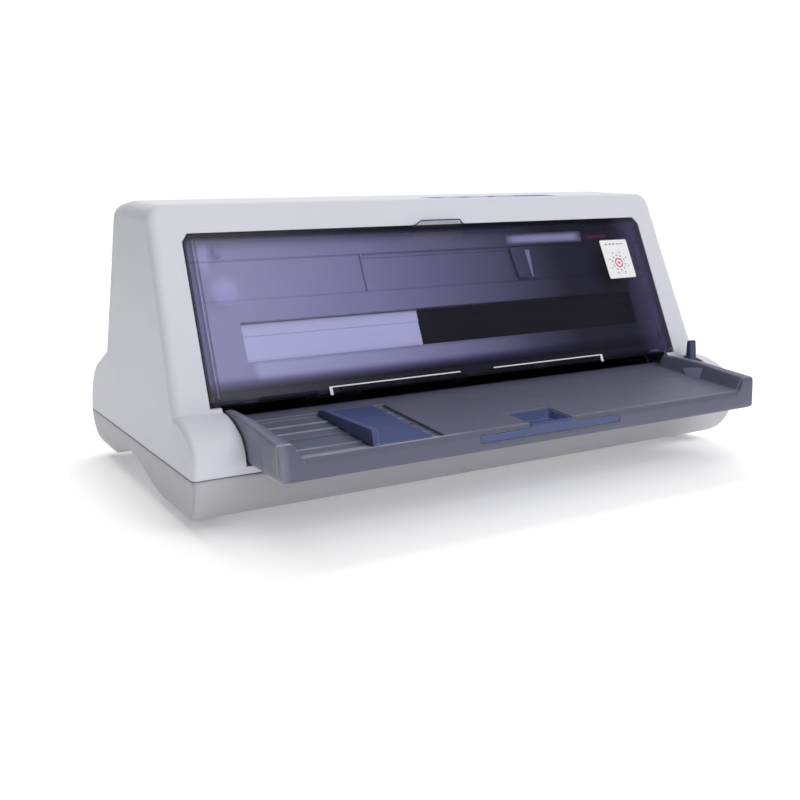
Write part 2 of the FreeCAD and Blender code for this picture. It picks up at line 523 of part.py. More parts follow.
# ---------------------------------------------------------------- lever in the right shoulder
lx, ly, lz = S.lever_x, S.lever_y, S.lever_z
knob = rounded("lever_knob", prism("knob_raw", "YZ", [
    (-83.1, 58.0), (-82.4, 70.0, 1.5), (-80.9, 71.5), (-80.7, 71.5, 1.5), (-79.2, 70.0), (-78.2, 58.0)], 6.6, 170.8),
    1.3, lambda e: abs(centre(e).z - 64.0) < 0.5 and abs(e.Length - 12) < 0.6)
lever_raw = fuse("lever_raw", knob, box("lever_arm", 172.0, 176.2, -81.2, -76.0, lz, 60.0), rod("lever_hub", "x", 5.0, 171.5, 7.0, ly, lz))
node("lever", cut("lever", lever_raw, rod("lever_eye", "x", 2.05, 170, 10, ly, lz)))
node("lever_pin", rod("lever_pin", "x", 2.0, 163.6, 24.6, ly, lz))

# ---------------------------------------------------------------- front cover, drawn in the plane of the slanted face
cl, ct, cw = S.cover_low_half, S.cover_top_half, S.cover_long
cover_edge = [(-cl, 0.0), (cl, 0.0), (ct, cw - 4.8), (ct - 3.9, cw), (-ct + 3.9, cw), (-ct, cw - 4.8)]
cover_in = [(-cl + 2, -6.0), (cl - 2, -6.0), (ct - 2, cw - 5.4), (ct - 5.0, cw - 2), (-ct + 5.0, cw - 2), (-ct + 2, cw - 5.4)]
cover_block = prism("cover_block", "XZ", cover_edge, S.cover_lip, 0)
cover_pocket = prism("cover_pocket", "XZ", cover_in, 20, S.cover_skin)
cover_low_trim = prism("cover_low_trim", "YZ", [(S.cover_skin, -4), (20, -4), (20, 6.5), (S.cover_skin + 2.4, 6.5), (S.cover_skin, 4.2)], 400)
cover_shell = cut("cover_shell", cover_block, cover_pocket, cover_low_trim)
tab = prism("tab", "XZ", [(-18.5, 92.0), (18.5, 92.0), (18.5, 100.9), (11.5, 104.2), (-11.5, 104.2), (-18.5, 100.9)], 2.1, -2.5)
tab_root = box("tab_root", -18.5, 18.5, -0.6, S.cover_skin, 92.0, 100.0)
knuckle_r = rod("knuckle_r", "x", 2.2, 150.0, 19.0, S.hinge_in, S.hinge_up)
knuckle_l = rod("knuckle_l", "x", 2.2, -169.0, 19.0, S.hinge_in, S.hinge_up)
pin_r = rod("pin_r", "x", S.hinge_pin, 165.0, 8.4, S.hinge_in, S.hinge_up)
pin_l = rod("pin_l", "x", S.hinge_pin, -173.4, 8.4, S.hinge_in, S.hinge_up)
hook_l = box("hook_l", -150.0, -146.0, 1.0, 8.6, 88.0, 94.0)
hook_r = box("hook_r", 146.0, 150.0, 1.0, 8.6, 88.0, 94.0)
cover_sum = fuse("cover_sum", cover_shell, tab, tab_root, knuckle_r, knuckle_l, pin_r, pin_l, hook_l, hook_r)
toe = prism("toe", "YZ", [(-1, -1), (2.3, -1), (2.3, 0.3), (1.2, 0.45), (0.5, 1.2), (0.0, 2.3), (-1, 2.3)], 400)
teeth = [box("tooth_gap_%d" % k, -140.5 + 50.5 * k, -104.0 + 50.5 * k, -1, 5, -2, 2.6) for k in range(6)]
node("front_cover", on_face(cut("front_cover", cover_sum, toe, *teeth)))

# ---------------------------------------------------------------- inner panel behind the cover
pi, ps = S.panel_in, S.panel_skin
panel_profile = prism("panel_profile", "YZ", [
    (6.2, 8.2), (8.0, 8.2), (9.0, 12.0), (12.2, 23.0), (12.2, 62.5), (14.2, 63.3), (14.2, 86.6), (12.6, 87.4), (12.6, 106.0),
    (10.1, 106.0), (10.1, 88.2), (11.7, 87.4), (11.7, 63.9), (9.5, 62.3), (9.5, 23.4), (7.2, 14.0)], 342)
panel_window = box("panel_window", S.window_left, S.window_right, 0, 25, S.window_low, S.window_high)
cheek_r = box("cheek_r", 170.6, 172.4, 4.4, 12.6, 12.0, 106.0)
cheek_l = box("cheek_l", -172.4, -170.6, 4.4, 12.6, 12.0, 106.0)
panel_edge = fuse("panel_edge", box("edge_fill_r", 170.0, 172.4, 9.5, 12.2, 12, 106), box("edge_fill_l", -172.4, -170.0, 9.5, 12.2, 12, 106))
lip_top = box("lip_top", S.window_left - 1.6, S.window_right + 1.6, 9.5, 15.5, S.window_high, S.window_high + 1.6)
lip_low = box("lip_low", S.window_left - 1.6, S.window_right + 1.6, 9.5, 15.5, S.window_low - 1.6, S.window_low)
lip_left = box("lip_left", S.window_left - 1.6, S.window_left, 9.5, 15.5, S.window_low - 1.6, S.window_high + 1.6)
lip_right = box("lip_right", S.window_right, S.window_right + 1.6, 9.5, 15.5, S.window_low - 1.6, S.window_high + 1.6)
rib_a = box("rib_a", -54.0, -52.6, 10.4, 12.6, 64.0, 88.0)
rib_b = prism("rib_b", "XZ", [(61, 65), (72, 65), (70.5, 86.4), (59, 86.4)], 3.0, 9.4)
rib_c = box("rib_c", -54.0, 61.0, 11.2, 12.6, 85.2, 86.9)
panel_corners = [box("panel_corner_r", 165.5, 180, 0, 20, 0, 16), box("panel_corner_l", -180, -165.5, 0, 20, 0, 16)]
panel_sum = fuse("panel_sum", cut("panel_cut", panel_profile, panel_window, *panel_corners), cheek_r, cheek_l, panel_edge,
                 lip_top, lip_low, lip_left, lip_right, rib_a, rib_b, rib_c)
node("inner_panel", on_face(panel_sum))

# dark bar over the paper path, under the panel
node("entry_guide", on_face(prism("entry_guide", "YZ", [
    (5.9, 2.2), (8.0, 1.0), (12.0, 1.6), (12.0, 3.4), (9.4, 4.0), (8.7, 7.7), (5.9, 7.7)], 322)))

# ---------------------------------------------------------------- ribbon
wl, wr = S.window_low, S.window_high
cart_block = prism("cart_block", "YZ", [
    (13.6, wl + 0.6), (13.6, wl + 15.8), (13.0, wl + 16.4), (13.0, wr - 0.6), (44.0, wr - 0.6), (44.0, wl + 0.6)], 172.6, -21.4)
cart = rounded("cart", cart_block, 1.2, lambda e: runs(e, "z") and centre(e).y > 20)
cart_bore = rod("cart_bore", "z", 3.05, wr - 9, 12, 0, 30)
node("ribbon_cartridge", on_face(cut("ribbon_cartridge", cart, cart_bore)))
knob_disc = rod("knob_disc", "z", 8.0, wr - 0.2, 3.0, 0, 30)
knob_stem = rod("knob_stem", "z", 3.0, wr - 8.6, 9.0, 0, 30)
node("ribbon_knob", on_face(fuse("ribbon_knob", knob_disc, knob_stem, box("knob_wing", -6, 6, 29.2, 30.8, wr + 2, wr + 5.4))))
plate_l = prism("plate_l", "YZ", [
    (13.6, wl + 0.6), (13.6, wl + 15.8), (13.0, wl + 16.4), (13.0, wr - 0.4), (26.0, wr - 0.4), (26.0, wr - 1.4), (14.0, wr - 1.4),
    (14.0, wl + 16.8), (14.6, wl + 16.2), (14.6, wl + 1.6), (26.0, wl + 1.6), (26.0, wl + 0.6)], 118.0, -139.6)
node("head_cover_plate", on_face(plate_l))
cradle = prism("cradle", "YZ", [
    (15.7, wl - 1.2), (47.0, wl - 1.2), (47.0, wr), (45.2, wr), (45.2, wl + 0.6), (15.7, wl + 0.6)], 323.6)
cradle_set = on_face(cradle)
node("ribbon_cradle", fuse("ribbon_cradle", cradle_set, box("arm_l", -150.0, -144.0, -19.0, 18.0, 64.2, 67.6), box("arm_r", 144.0, 150.0, -19.0, 18.0, 64.2, 67.6)))
node("ink_ribbon", prism("ink_ribbon", "XZ", [
    (-146.0, 64.0), (-146.0, 50.9), (146.0, 50.9), (146.0, 64.0), (145.7, 64.0), (145.7, 51.2), (-145.7, 51.2), (-145.7, 64.0)], 12.0, 4.0))

# ---------------------------------------------------------------- frames and rails
fi, fs = S.frame_in, S.frame_skin
frame_pts = [(-54.0, 10.0), (-54.0, 48.0), (-46.0, 60.0), (-25.0, 112.0), (58.0, 112.0), (82.0, 72.0), (84.0, 62.0), (84.0, 10.0)]
frame_holes = [
    rod("bore_platen", "x", S.platen_shaft + S.run_fit, -180, 360, S.platen_y, S.platen_z),
    rod("bore_front", "x", S.roll_shaft + S.run_fit, -180, 360, S.front_y, S.front_z),
    rod("bore_rear", "x", S.roll_shaft + S.run_fit, -180, 360, S.rear_y, S.rear_z),
    rod("bore_rail", "x", S.rail_rad, -180, 360, S.rail_y, S.rail_z),
    rod("bore_pinch_f", "x", S.pinch_shaft + S.run_fit, -180, 360, S.front_y, S.front_z + S.roll_rad + S.pinch_rad + S.nip),
    rod("bore_pinch_r", "x", S.pinch_shaft + S.run_fit, -180, 360, S.rear_y, S.rear_z + S.roll_rad + S.pinch_rad + S.nip)]


def under(a, b, reach):
    """The point below the line a-b at equal reach from both."""
    d = math.hypot(b[0] - a[0], b[1] - a[1])
    drop = math.sqrt(reach * reach - d * d / 4)
    ux, uz = (b[0] - a[0]) / d, (b[1] - a[1]) / d
    return ((a[0] + b[0]) / 2 + uz * drop, (a[1] + b[1]) / 2 - ux * drop)


REACH = S.gear_mod.v * (S.roll_teeth.v + S.idle_teeth.v) / 2
IDLE_F = under((S.front_y.v, S.front_z.v), (S.platen_y.v, S.platen_z.v), REACH)
IDLE_R = under((S.platen_y.v, S.platen_z.v), (S.rear_y.v, S.rear_z.v), REACH)
PINION_REACH = S.gear_mod.v * (S.roll_teeth.v + S.pinion_teeth.v) / 2
MOTOR_AT = (S.rear_y.v + PINION_REACH * math.sqrt(0.5), S.rear_z.v - PINION_REACH * math.sqrt(0.5))
node("right_side_frame", cut("right_side_frame", prism("frame_r", "YZ", frame_pts, fs, fi), *frame_holes))
gear_stub_f = rod("gear_stub_f", "x", 2.0, -175.6, 12.6, IDLE_F[0], IDLE_F[1])
gear_stub_r = rod("gear_stub_r", "x", 2.0, -175.6, 12.6, IDLE_R[0], IDLE_R[1])
frame_l_cut = cut("frame_l_cut", prism("frame_l", "YZ", frame_pts, fs, -fi - fs), *(frame_holes + [
    rod("bore_motor", "x", 6.0, -170, 20, MOTOR_AT[0], MOTOR_AT[1])]))
node("left_side_frame", fuse("left_side_frame", frame_l_cut, gear_stub_f, gear_stub_r))
chassis_flat = box("chassis_flat", -fi, fi, -52, 80, 10.0, 11.5)
chassis_turn = box("chassis_turn", -fi, fi, 79.5, 81.0, 10.0, 20)
node("chassis_plate", cut("chassis_plate", fuse("chassis_sum", chassis_flat, chassis_turn), *[
    rod("chassis_vent_%d" % k, "z", 5.0, 5, 10, -100 + 40 * k, 62) for k in range(6)]))
node("guide_shaft", rod("guide_shaft", "x", S.rail_rad, -fi - fs - 2, (fi + fs + 2) * 2, S.rail_y, S.rail_z))
node("carriage_rail", fuse("carriage_rail", box("rail_flat", -fi, fi, -14, -6, 56.2, 57.7), box("rail_turn", -fi, fi, -15.2, -13.7, 56.2, 62.0)))

# ---------------------------------------------------------------- carriage and head
car = fuse("car", box("car_base", -26, 26, -12.5, 37, 58.0, 63.0), box("car_back", -26, 26, 27, 50, 62, 84),
           box("car_cheek_l", -26, -22, -8, 28, 58, 72), box("car_cheek_r", 22, 26, -8, 28, 58, 72),
           box("car_arm", -9, 9, 49, 66.5, 68.5, 79.5))
belt_slot = box("belt_slot", -20, 20, S.belt_y - S.pulley_rad - S.belt_skin - 0.35, S.belt_y - S.pulley_rad + 0.35, S.belt_z - 3.4, S.belt_z + 3.4)
node("carriage", cut("carriage", car, belt_slot, rod("car_bore", "x", 8.0, -30, 60, S.rail_y, S.rail_z),
                     box("car_well", -12, 12, 0, 20, 50, 70)))
bush_o = [rod("bush_out_%d" % k, "x", 8.0, x, 10, S.rail_y, S.rail_z) for k, x in enumerate([-26.0, 16.0])]
bush_i = [rod("bush_bore_%d" % k, "x", S.rail_rad + S.run_fit, x - 2, 14, S.rail_y, S.rail_z) for k, x in enumerate([-26.0, 16.0])]
node("carriage_bushes", group("carriage_bushes", cut("bush_0", bush_o[0], bush_i[0]), cut("bush_1", bush_o[1], bush_i[1])))
head_nose = prism("head_nose", "XZ", [(-3.5, 51.6), (3.5, 51.6), (6.5, 60.0), (10.0, 63.0), (-10.0, 63.0), (-6.5, 60.0)], 13.0, 3.5)
head_body = box("head_body", -17, 17, -7.5, 26.0, 63.0, 70.0)
head_core = rod("head_core", "z", 13.0, 69.5, 11.0, 0, 10)
fins = [rod("fin_%d" % k, "z", 16.0, 71.0 + 2.6 * k, 1.3, 0, 10) for k in range(4)]
node("print_head", fuse("print_head", head_nose, head_body, head_core, *fins))

# ---------------------------------------------------------------- carriage drive
motor_r = rod("cm_body", "z", 17.0, 30.0, 36.0, S.pulley_x, S.belt_y)
node("carriage_motor", cut("carriage_motor", fuse("cm_sum", motor_r, rod("cm_boss", "z", 6.0, 65.9, 1.5, S.pulley_x, S.belt_y)),
                           rod("cm_bore", "z", 2.05, 48.0, 25, S.pulley_x, S.belt_y)))
node("motor_bracket", cut("motor_bracket", box("mb_flat", 120, fi, 52, 92, 66.0, 67.4), rod("mb_hole", "z", 6.05, 60, 10, S.pulley_x, S.belt_y)))


def pulley(tag, x, bore):
    grooves = cut("pl_%s_rim" % tag, rod("pl_%s_disc" % tag, "z", S.pulley_rad + 1.6, S.belt_z - 4.2, 8.4, x, S.belt_y),
                  cut("pl_%s_ring" % tag, rod("pl_%s_big" % tag, "z", 14, S.belt_z - 3.1, 6.2, x, S.belt_y),
                      rod("pl_%s_mid" % tag, "z", S.pulley_rad - 0.25, S.belt_z - 4, 8, x, S.belt_y)))
    return cut("%s_pulley" % tag, grooves, rod("pl_%s_bore" % tag, "z", bore, S.belt_z - 6, 12, x, S.belt_y))


node("drive_pulley", fuse("drive_pulley_whole", pulley("drive", S.pulley_x, 1.5), rod("drive_axle", "z", 2.0, 48.5, 30.5, S.pulley_x, S.belt_y)))
node("idler_pulley", pulley("idler", -S.pulley_x, 2.05))
node("idler_bracket", fuse("idler_bracket", box("ib_flat", -fi, -124, 58, 84, 66.0, 67.4), rod("ib_pin", "z", 2.0, 67.0, 12.4, -S.pulley_x, S.belt_y)))
half_out, half_in = S.pulley_rad + S.belt_skin, S.pulley_rad


belt_out = fuse("belt_out", box("belt_out_mid", -S.pulley_x, S.pulley_x, S.belt_y - half_out, S.belt_y + half_out, S.belt_z - 3, S.belt_z + 3),
                rod("belt_out_r", "z", half_out, S.belt_z - 3, S.belt_wide, S.pulley_x, S.belt_y), rod("belt_out_l", "z", half_out, S.belt_z - 3, S.belt_wide, -S.pulley_x, S.belt_y))
belt_in = fuse("belt_in", box("belt_in_mid", -S.pulley_x, S.pulley_x, S.belt_y - half_in, S.belt_y + half_in, S.belt_z - 5, S.belt_z + 5),
               rod("belt_in_r", "z", half_in, S.belt_z - 5, 10, S.pulley_x, S.belt_y), rod("belt_in_l", "z", half_in, S.belt_z - 5, 10, -S.pulley_x, S.belt_y))
node("timing_belt", cut("timing_belt", belt_out, belt_in))

# ---------------------------------------------------------------- rollers
gx, gw = S.gear_x, S.gear_wide


def shaft(label, y, z, r, x0, x1):
    return node(label, rod(label, "x", r, x0, dim(x1) - x0, y, z))


def sleeves(label, y, z, r, bore, spans):
    parts = []
    for k, (a, b) in enumerate(spans):
        parts.append(cut("%s_%d" % (label, k), rod("%s_o%d" % (label, k), "x", r, a, b - a, y, z), rod("%s_i%d" % (label, k), "x", bore, a - 1, b - a + 2, y, z)))
    return node(label, parts[0] if len(parts) == 1 else group(label, *parts))


SPANS = [(-125.0, -97.0), (-55.0, -27.0), (27.0, 55.0), (97.0, 125.0)]
shaft("platen_shaft", S.platen_y, S.platen_z, S.platen_shaft, gx, fi + fs + 3)
sleeves("platen_roller", S.platen_y, S.platen_z, S.platen_rad, S.platen_shaft, [(-150.0, 150.0)])
shaft("front_feed_shaft", S.front_y, S.front_z, S.roll_shaft, gx, fi + fs + 3)
sleeves("front_feed_rollers", S.front_y, S.front_z, S.roll_rad, S.roll_shaft, SPANS)
shaft("rear_feed_shaft", S.rear_y, S.rear_z, S.roll_shaft, gx, fi + fs + 3)
sleeves("rear_feed_rollers", S.rear_y, S.rear_z, S.roll_rad, S.roll_shaft, SPANS)


def pinch(label, y, z):
    return node(label, fuse(label, rod(label + "_axle", "x", S.pinch_shaft, -fi - fs - 1.5, (fi + fs + 1.5) * 2, y, z),
                            *[rod("%s_%d" % (label, k), "x", S.pinch_rad, a, b - a, y, z) for k, (a, b) in enumerate(SPANS)]))


pinch("front_pinch_rollers", S.front_y, S.front_z + S.roll_rad + S.pinch_rad + S.nip)
pinch("rear_pinch_rollers", S.rear_y, S.rear_z + S.roll_rad + S.pinch_rad + S.nip)

# ---------------------------------------------------------------- gear train outside the left frame
def gear_shape(teeth, y, z, phase, bore, shaft_from=None):
    """Straight involute gear across X, with a tooth centred at the angle phase, measured from +Y towards +Z."""
    m = S.gear_mod.v
    n = int(round(teeth))
    rp = m * n / 2.0
    rb = rp * math.cos(math.radians(20))
    ra, rf = rp + 0.95 * m, rp - 1.2 * m
    inv = math.tan(math.radians(20)) - math.radians(20)
    half = (math.pi * m / 2.0 - 0.16) / 2.0 / rp + inv
    pts = []
    for k in range(n):
        c = phase + 2 * math.pi * k / n
        flank = []
        for j in range(5):
            r = rb + (ra - rb) * j / 4.0 if rb > rf else rf + (ra - rf) * j / 4.0
            r = max(r, rb)
            a = math.acos(min(1.0, rb / r))
            flank.append((r, half - (math.tan(a) - a)))
        if rf < rb:
            flank.insert(0, (rf, flank[0][1] + 0.01))
        for r, t in flank:
            pts.append((r, c - t))
        for r, t in reversed(flank):
            pts.append((r, c + t))
    ring = [V(0, r * math.cos(a), r * math.sin(a)) for r, a in pts]
    face = Part.Face(Part.makePolygon(ring + [ring[0]]))
    body = face.extrude(V(S.gear_wide.v, 0, 0))
    body = body.cut(Part.makeCylinder(bore, S.gear_wide.v + 2, V(-1, 0, 0), V(1, 0, 0))) if bore else body
    web = Part.makeCylinder(rf - 1.6, 1.6, V(-0.01, 0, 0), V(1, 0, 0)).cut(Part.makeCylinder(max(bore, 2.0) + 2.4, 1.7, V(-0.02, 0, 0), V(1, 0, 0)))
    if rf > 7:
        body = body.cut(web)
    if shaft_from is not None:
        body = body.fuse(Part.makeCylinder(2.0, shaft_from, V(0, 0, 0), V(1, 0, 0)))
    return body


def gear(label, teeth, y, z, phase, bore, shaft_from=None):
    o = doc.addObject("Part::Feature", label)
    o.Shape = gear_shape(teeth, y, z, phase, bore, shaft_from)
    o.Placement = FreeCAD.Placement(V(S.gear_x.v, y, z), FreeCAD.Rotation())
    bind(o, "Placement.Base.x", S.gear_x)
    return node(label, o)


def meshed(phase_a, teeth_a, pos_a, teeth_b, pos_b):
    """The phase of gear b that puts a gap of b over a tooth of a, on the line of centres."""
    al = math.atan2(pos_b[1] - pos_a[1], pos_b[0] - pos_a[0])
    pa, pb = 2 * math.pi / teeth_a, 2 * math.pi / teeth_b
    return al + math.pi - pb * ((phase_a - al) / pa + 0.5)


NR, NI, NP = S.roll_teeth.v, S.idle_teeth.v, S.pinion_teeth.v
at_platen = (S.platen_y.v, S.platen_z.v)
at_front = (S.front_y.v, S.front_z.v)
at_rear = (S.rear_y.v, S.rear_z.v)
ph_platen = math.pi / 2
ph_idle_f = meshed(ph_platen, NR, at_platen, NI, IDLE_F)
ph_front = meshed(ph_idle_f, NI, IDLE_F, NR, at_front)
ph_idle_r = meshed(ph_platen, NR, at_platen, NI, IDLE_R)
ph_rear = meshed(ph_idle_r, NI, IDLE_R, NR, at_rear)
ph_pinion = meshed(ph_rear, NR, at_rear, NP, MOTOR_AT)
gear("platen_gear", NR, at_platen[0], at_platen[1], ph_platen, S.platen_shaft.v)
gear("front_feed_gear", NR, at_front[0], at_front[1], ph_front, S.roll_shaft.v)
gear("rear_feed_gear", NR, at_rear[0], at_rear[1], ph_rear, S.roll_shaft.v)
gear("front_idler_gear", NI, IDLE_F[0], IDLE_F[1], ph_idle_f, 2.05)
gear("rear_idler_gear", NI, IDLE_R[0], IDLE_R[1], ph_idle_r, 2.05)
gear("motor_pinion", NP, MOTOR_AT[0], MOTOR_AT[1], ph_pinion, 0, 26.0)
my, mz = MOTOR_AT
node("feed_motor", cut("feed_motor", fuse("fm_sum", rod("fm_body", "x", 16.0, -fi, 22.0, my, mz), rod("fm_cap", "x", 8.0, -140.2, 2.2, my, mz)),
                       rod("fm_bore", "x", 2.05, -170, 24.0, my, mz)))

# ---------------------------------------------------------------- paper guide
guide_flat = box("guide_flat", -161, 161, -53, 119.5, 48.8, S.paper_z)
guide_ramp = prism("guide_ramp", "YZ", [(-53.5, 48.8), (-50, 48.8), (-50, 50.0), (-53.5, 51.2), (-55.5, 51.2), (-55.5, 50.0)], 322)
guide_cuts = [box("gc_platen", -151.5, 151.5, 2.6, 17.4, 45, 55)]
for k, (a, b) in enumerate(SPANS):
    guide_cuts.append(box("gc_f%d" % k, a - 1.2, b + 1.2, -31.6, -18.4, 45, 55))
    guide_cuts.append(box("gc_r%d" % k, a - 1.2, b + 1.2, 38.6, 51.4, 45, 55))
guide_cuts.append(box("gc_motor", 124.0, 163, 50.5, 90, 45, 55))
guide_cuts += [box("gc_corner_r", 138.0, 163, 102.5, 125, 45, 55), box("gc_corner_l", -163, -138.0, 102.5, 125, 45, 55)]
node("paper_guide", cut("paper_guide", fuse("guide_sum", guide_flat, guide_ramp), *guide_cuts))

# ---------------------------------------------------------------- boards
mb = [box("mb_plate", -176, 112, 88, 120.5, 36.0, 37.6)]
for k, (x0, y0, sx, sy, sz) in enumerate([(-120, 94, 22, 22, 1.6), (-90, 92, 10, 16, 2.2), (30, 96, 16, 16, 1.8), (70, 92, 12, 24, 3.0),
                                          (-140, 92, 8, 12, 6.0), (90, 100, 16, 8, 7.5)]):
    mb.append(box("mb_chip_%d" % k, x0, x0 + sx, y0, y0 + sy, 37.6, 37.6 + sz))
for k, (x, y) in enumerate([(15, 94), (24, 94), (54, 106), (-20, 94)]):
    mb.append(rod("mb_cap_%d" % k, "z", 3.2, 37.6, 9.0, x, y))
for k, (x, y) in enumerate([(-157, 92), (-157, 116), (108, 92), (108, 116)]):
    mb.append(rod("mb_leg_%d" % k, "z", 2.2, 6.0, 30.0, x, y))
node("main_board", fuse("main_board", *mb))
pb = [box("pb_plate", 20, 150, -50, 36, 16.0, 17.4), box("pb_coil", 30, 62, -49, -35, 17.4, 36.0), box("pb_choke", 70, 88, -48, -34, 17.4, 33.0),
      box("pb_sink", 98, 144, -47.5, -45.5, 17.4, 36.0), box("pb_fuse", 120, 142, -30, -24, 17.4, 24.0)]
for k, (x, y, r, high) in enumerate([(104, -10, 8, 11.5), (124, -8, 6, 11.5), (80, -12, 5, 10), (50, -10, 6, 10)]):
    pb.append(rod("pb_cap_%d" % k, "z", r, 17.4, high, x, y))
for k, (x, y) in enumerate([(25, -45), (145, -40), (25, 31), (145, 31)]):
    pb.append(rod("pb_leg_%d" % k, "z", 2.4, 11.5, 4.6, x, y))
node("power_board", fuse("power_board", *pb))

# ---------------------------------------------------------------- connectors and power switch
inlet_sum = fuse("inlet_sum", box("inlet_body", 145.2, 171.0, 104, 124.5, 39.2, 57.2), rounded("inlet_flange", box(
    "inlet_plate", 140.0, 176.0, 124.0, 126.4, 37.0, 59.4), 3.0, lambda e: runs(e, "y")))
inlet_pins = [box("inlet_pin_%d" % k, x - 1.0, x + 1.0, 108.0, 120.5, z - 2.0, z + 2.0) for k, (x, z) in enumerate([(151.1, 46.2), (158.1, 50.2), (165.1, 46.2)])]
inlet_room = prism("inlet_room", "XZ", [(147.0, 41.0), (169.2, 41.0), (169.2, 51.5), (165.2, 55.4), (151.0, 55.4), (147.0, 51.5)], 18.0, 109.0)
node("power_inlet", fuse("power_inlet", cut("inlet_shell", inlet_sum, inlet_room), *inlet_pins))
par_shell = cut("par_shell", fuse("par_sum", box("par_body", -67.9, -2.1, 110, 131.0, 37.7, 47.6), prism("par_rim", "XZ", [
    (-60.0, 38.6), (-10.0, 38.6), (-8.6, 46.8), (-61.4, 46.8)], 7.5, 130.0)), prism("par_room", "XZ", [
        (-58.8, 39.6), (-11.2, 39.6), (-10.1, 45.8), (-59.9, 45.8)], 10.0, 128.5))
par_tongue = box("par_tongue", -56.0, -14.0, 127.5, 132.0, 41.6, 43.8)
usb = fuse("usb", cut("usb_shell", box("usb_body", -164.9, -153.1, 107, 126.5, 37.7, 49.1), box("usb_room", -163.7, -154.3, 112, 128, 38.9, 47.9)),
           box("usb_tongue", -161.9, -156.1, 110, 119.0, 41.6, 45.2))
node("interface_ports", group("interface_ports", fuse("parallel_port", par_shell, par_tongue), usb))
sw = cut("switch_shell", fuse("switch_sum", box("switch_flange", 188.4, 191.6, 60.8, 85.2, 39.5, 55.5), box("switch_body", 172.0, 188.8, 63.0, 83.0, 41.5, 53.5)),
         box("switch_room", 178.5, 196, 64.2, 81.8, 42.3, 52.7), rod("switch_eye", "z", 1.25, 41.6, 11.8, 185.5, 73.0))
node("switch_housing", sw)
rocker_raw = prism("rocker_raw", "XY", [(-1.6, -7.4), (4.1, -7.6), (3.1, 0.0), (4.1, 7.6), (-1.6, 7.4), (-3.4, 0.0)], 9.6, 42.7)
rocker_sum = fuse("rocker_sum", rocker_raw, rod("rocker_pin", "z", 1.2, 41.75, 11.5, 0, 0))
rocker_sum.Placement = FreeCAD.Placement(V(185.5, 73.0, 0), FreeCAD.Rotation(V(0, 0, 1), -10))
node("switch_rocker", rocker_sum)

# ---------------------------------------------------------------- control panel
pf, pr = S.pad_front_y, S.pad_rear_y
pad = prism("pad", "YZ", [(pf, top_z_at(pf) - S.pad_deep), (pr, top_z_at(pr) - S.pad_deep), (pr, top_z_at(pr) - 0.1), (pf, top_z_at(pf) - 0.1)],
            S.pad_right - S.pad_left - 0.3, S.pad_left + 0.15)
pad_rounded = rounded("pad_rounded", pad, 4.0, lambda e: runs(e, "z", 0.05))
node("control_panel", cut("control_panel", pad_rounded, *([box("pad_hole_%d" % k, x - 7.3, x + 7.3, -14.8, -6.2, 165, 185) for k, x in enumerate(KEYS)]
                                                          + [rod("pad_lamp_%d" % k, "z", 1.5, 165, 20, x, -10.5) for k, x in enumerate(LAMPS)])))
for k, x in enumerate(KEYS, start=1):
    cap = prism("cap_%d" % k, "YZ", [(-14.5, 167.5), (-6.5, 167.5), (-6.5, top_z_at(-6.5) - 0.02), (-14.5, top_z_at(-14.5) - 0.02)], 14.0, x - 7.0)
    cap_r = rounded("cap_r_%d" % k, cap, 1.5, lambda e: runs(e, "z"))
    node("panel_key_%d" % k, fuse("panel_key_%d" % k, cap_r, box("cap_skirt_%d" % k, x - 8.2, x + 8.2, -15.8, -5.2, 167.0, 168.4)))
node("indicator_lamps", group("indicator_lamps", *[rod("lamp_%d" % k, "z", 1.4, 162.3, 11.75, x, -10.5) for k, x in enumerate(LAMPS)]))
board_parts = [box("panel_pcb", 8, 104, -20.5, -1.5, 160.6, 162.2)]
board_parts += [box("dome_%d" % k, x - 3, x + 3, -13.5, -7.5, 162.2, 166.3) for k, x in enumerate(KEYS)]
board_parts += [rod("board_post_%d" % k, "z", 1.8, 162.2, 8.9, x, -4.5) for k, x in enumerate([11.0, 76.0, 101.0])]
node("panel_board", fuse("panel_board", *board_parts))

# ---------------------------------------------------------------- checks and export
doc.recompute()
failed = [o.Name for o in doc.Objects if "Invalid" in o.State or "Error" in o.State]
if failed:
    raise RuntimeError("failed objects: %s" % failed)
seen = set()
for label, o in NODES:
    if label in seen:
        raise RuntimeError("two pieces named " + label)
    seen.add(label)
    if o.Shape.isNull() or not o.Shape.isValid() or not o.Shape.Solids:
        raise RuntimeError("bad shape: " + label)
os.makedirs("parts", exist_ok=True)
for label, o in NODES:
    o.Shape.exportStep("parts/%s.step" % label)
    bb = o.Shape.BoundBox
    print("%-22s solids %d vol %9.0f  x %7.1f %7.1f  y %7.1f %7.1f  z %6.1f %6.1f" % (
        label, len(o.Shape.Solids), o.Shape.Volume, bb.XMin, bb.XMax, bb.YMin, bb.YMax, bb.ZMin, bb.ZMax))
print(len(NODES), "nodes")
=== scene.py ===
import math

import bmesh
import bpy
from mathutils import Matrix, Vector


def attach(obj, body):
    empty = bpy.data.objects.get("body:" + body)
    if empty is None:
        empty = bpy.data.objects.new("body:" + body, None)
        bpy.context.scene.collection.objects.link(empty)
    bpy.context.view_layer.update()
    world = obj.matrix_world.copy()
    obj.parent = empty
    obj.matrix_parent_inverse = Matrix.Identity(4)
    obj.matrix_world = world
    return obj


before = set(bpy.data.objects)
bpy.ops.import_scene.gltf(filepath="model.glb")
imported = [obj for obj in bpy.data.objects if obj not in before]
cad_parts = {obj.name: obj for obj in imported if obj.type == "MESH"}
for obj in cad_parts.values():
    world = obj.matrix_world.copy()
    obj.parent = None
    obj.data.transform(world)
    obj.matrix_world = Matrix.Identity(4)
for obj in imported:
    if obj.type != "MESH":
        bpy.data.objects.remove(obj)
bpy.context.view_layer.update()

MM = 0.001

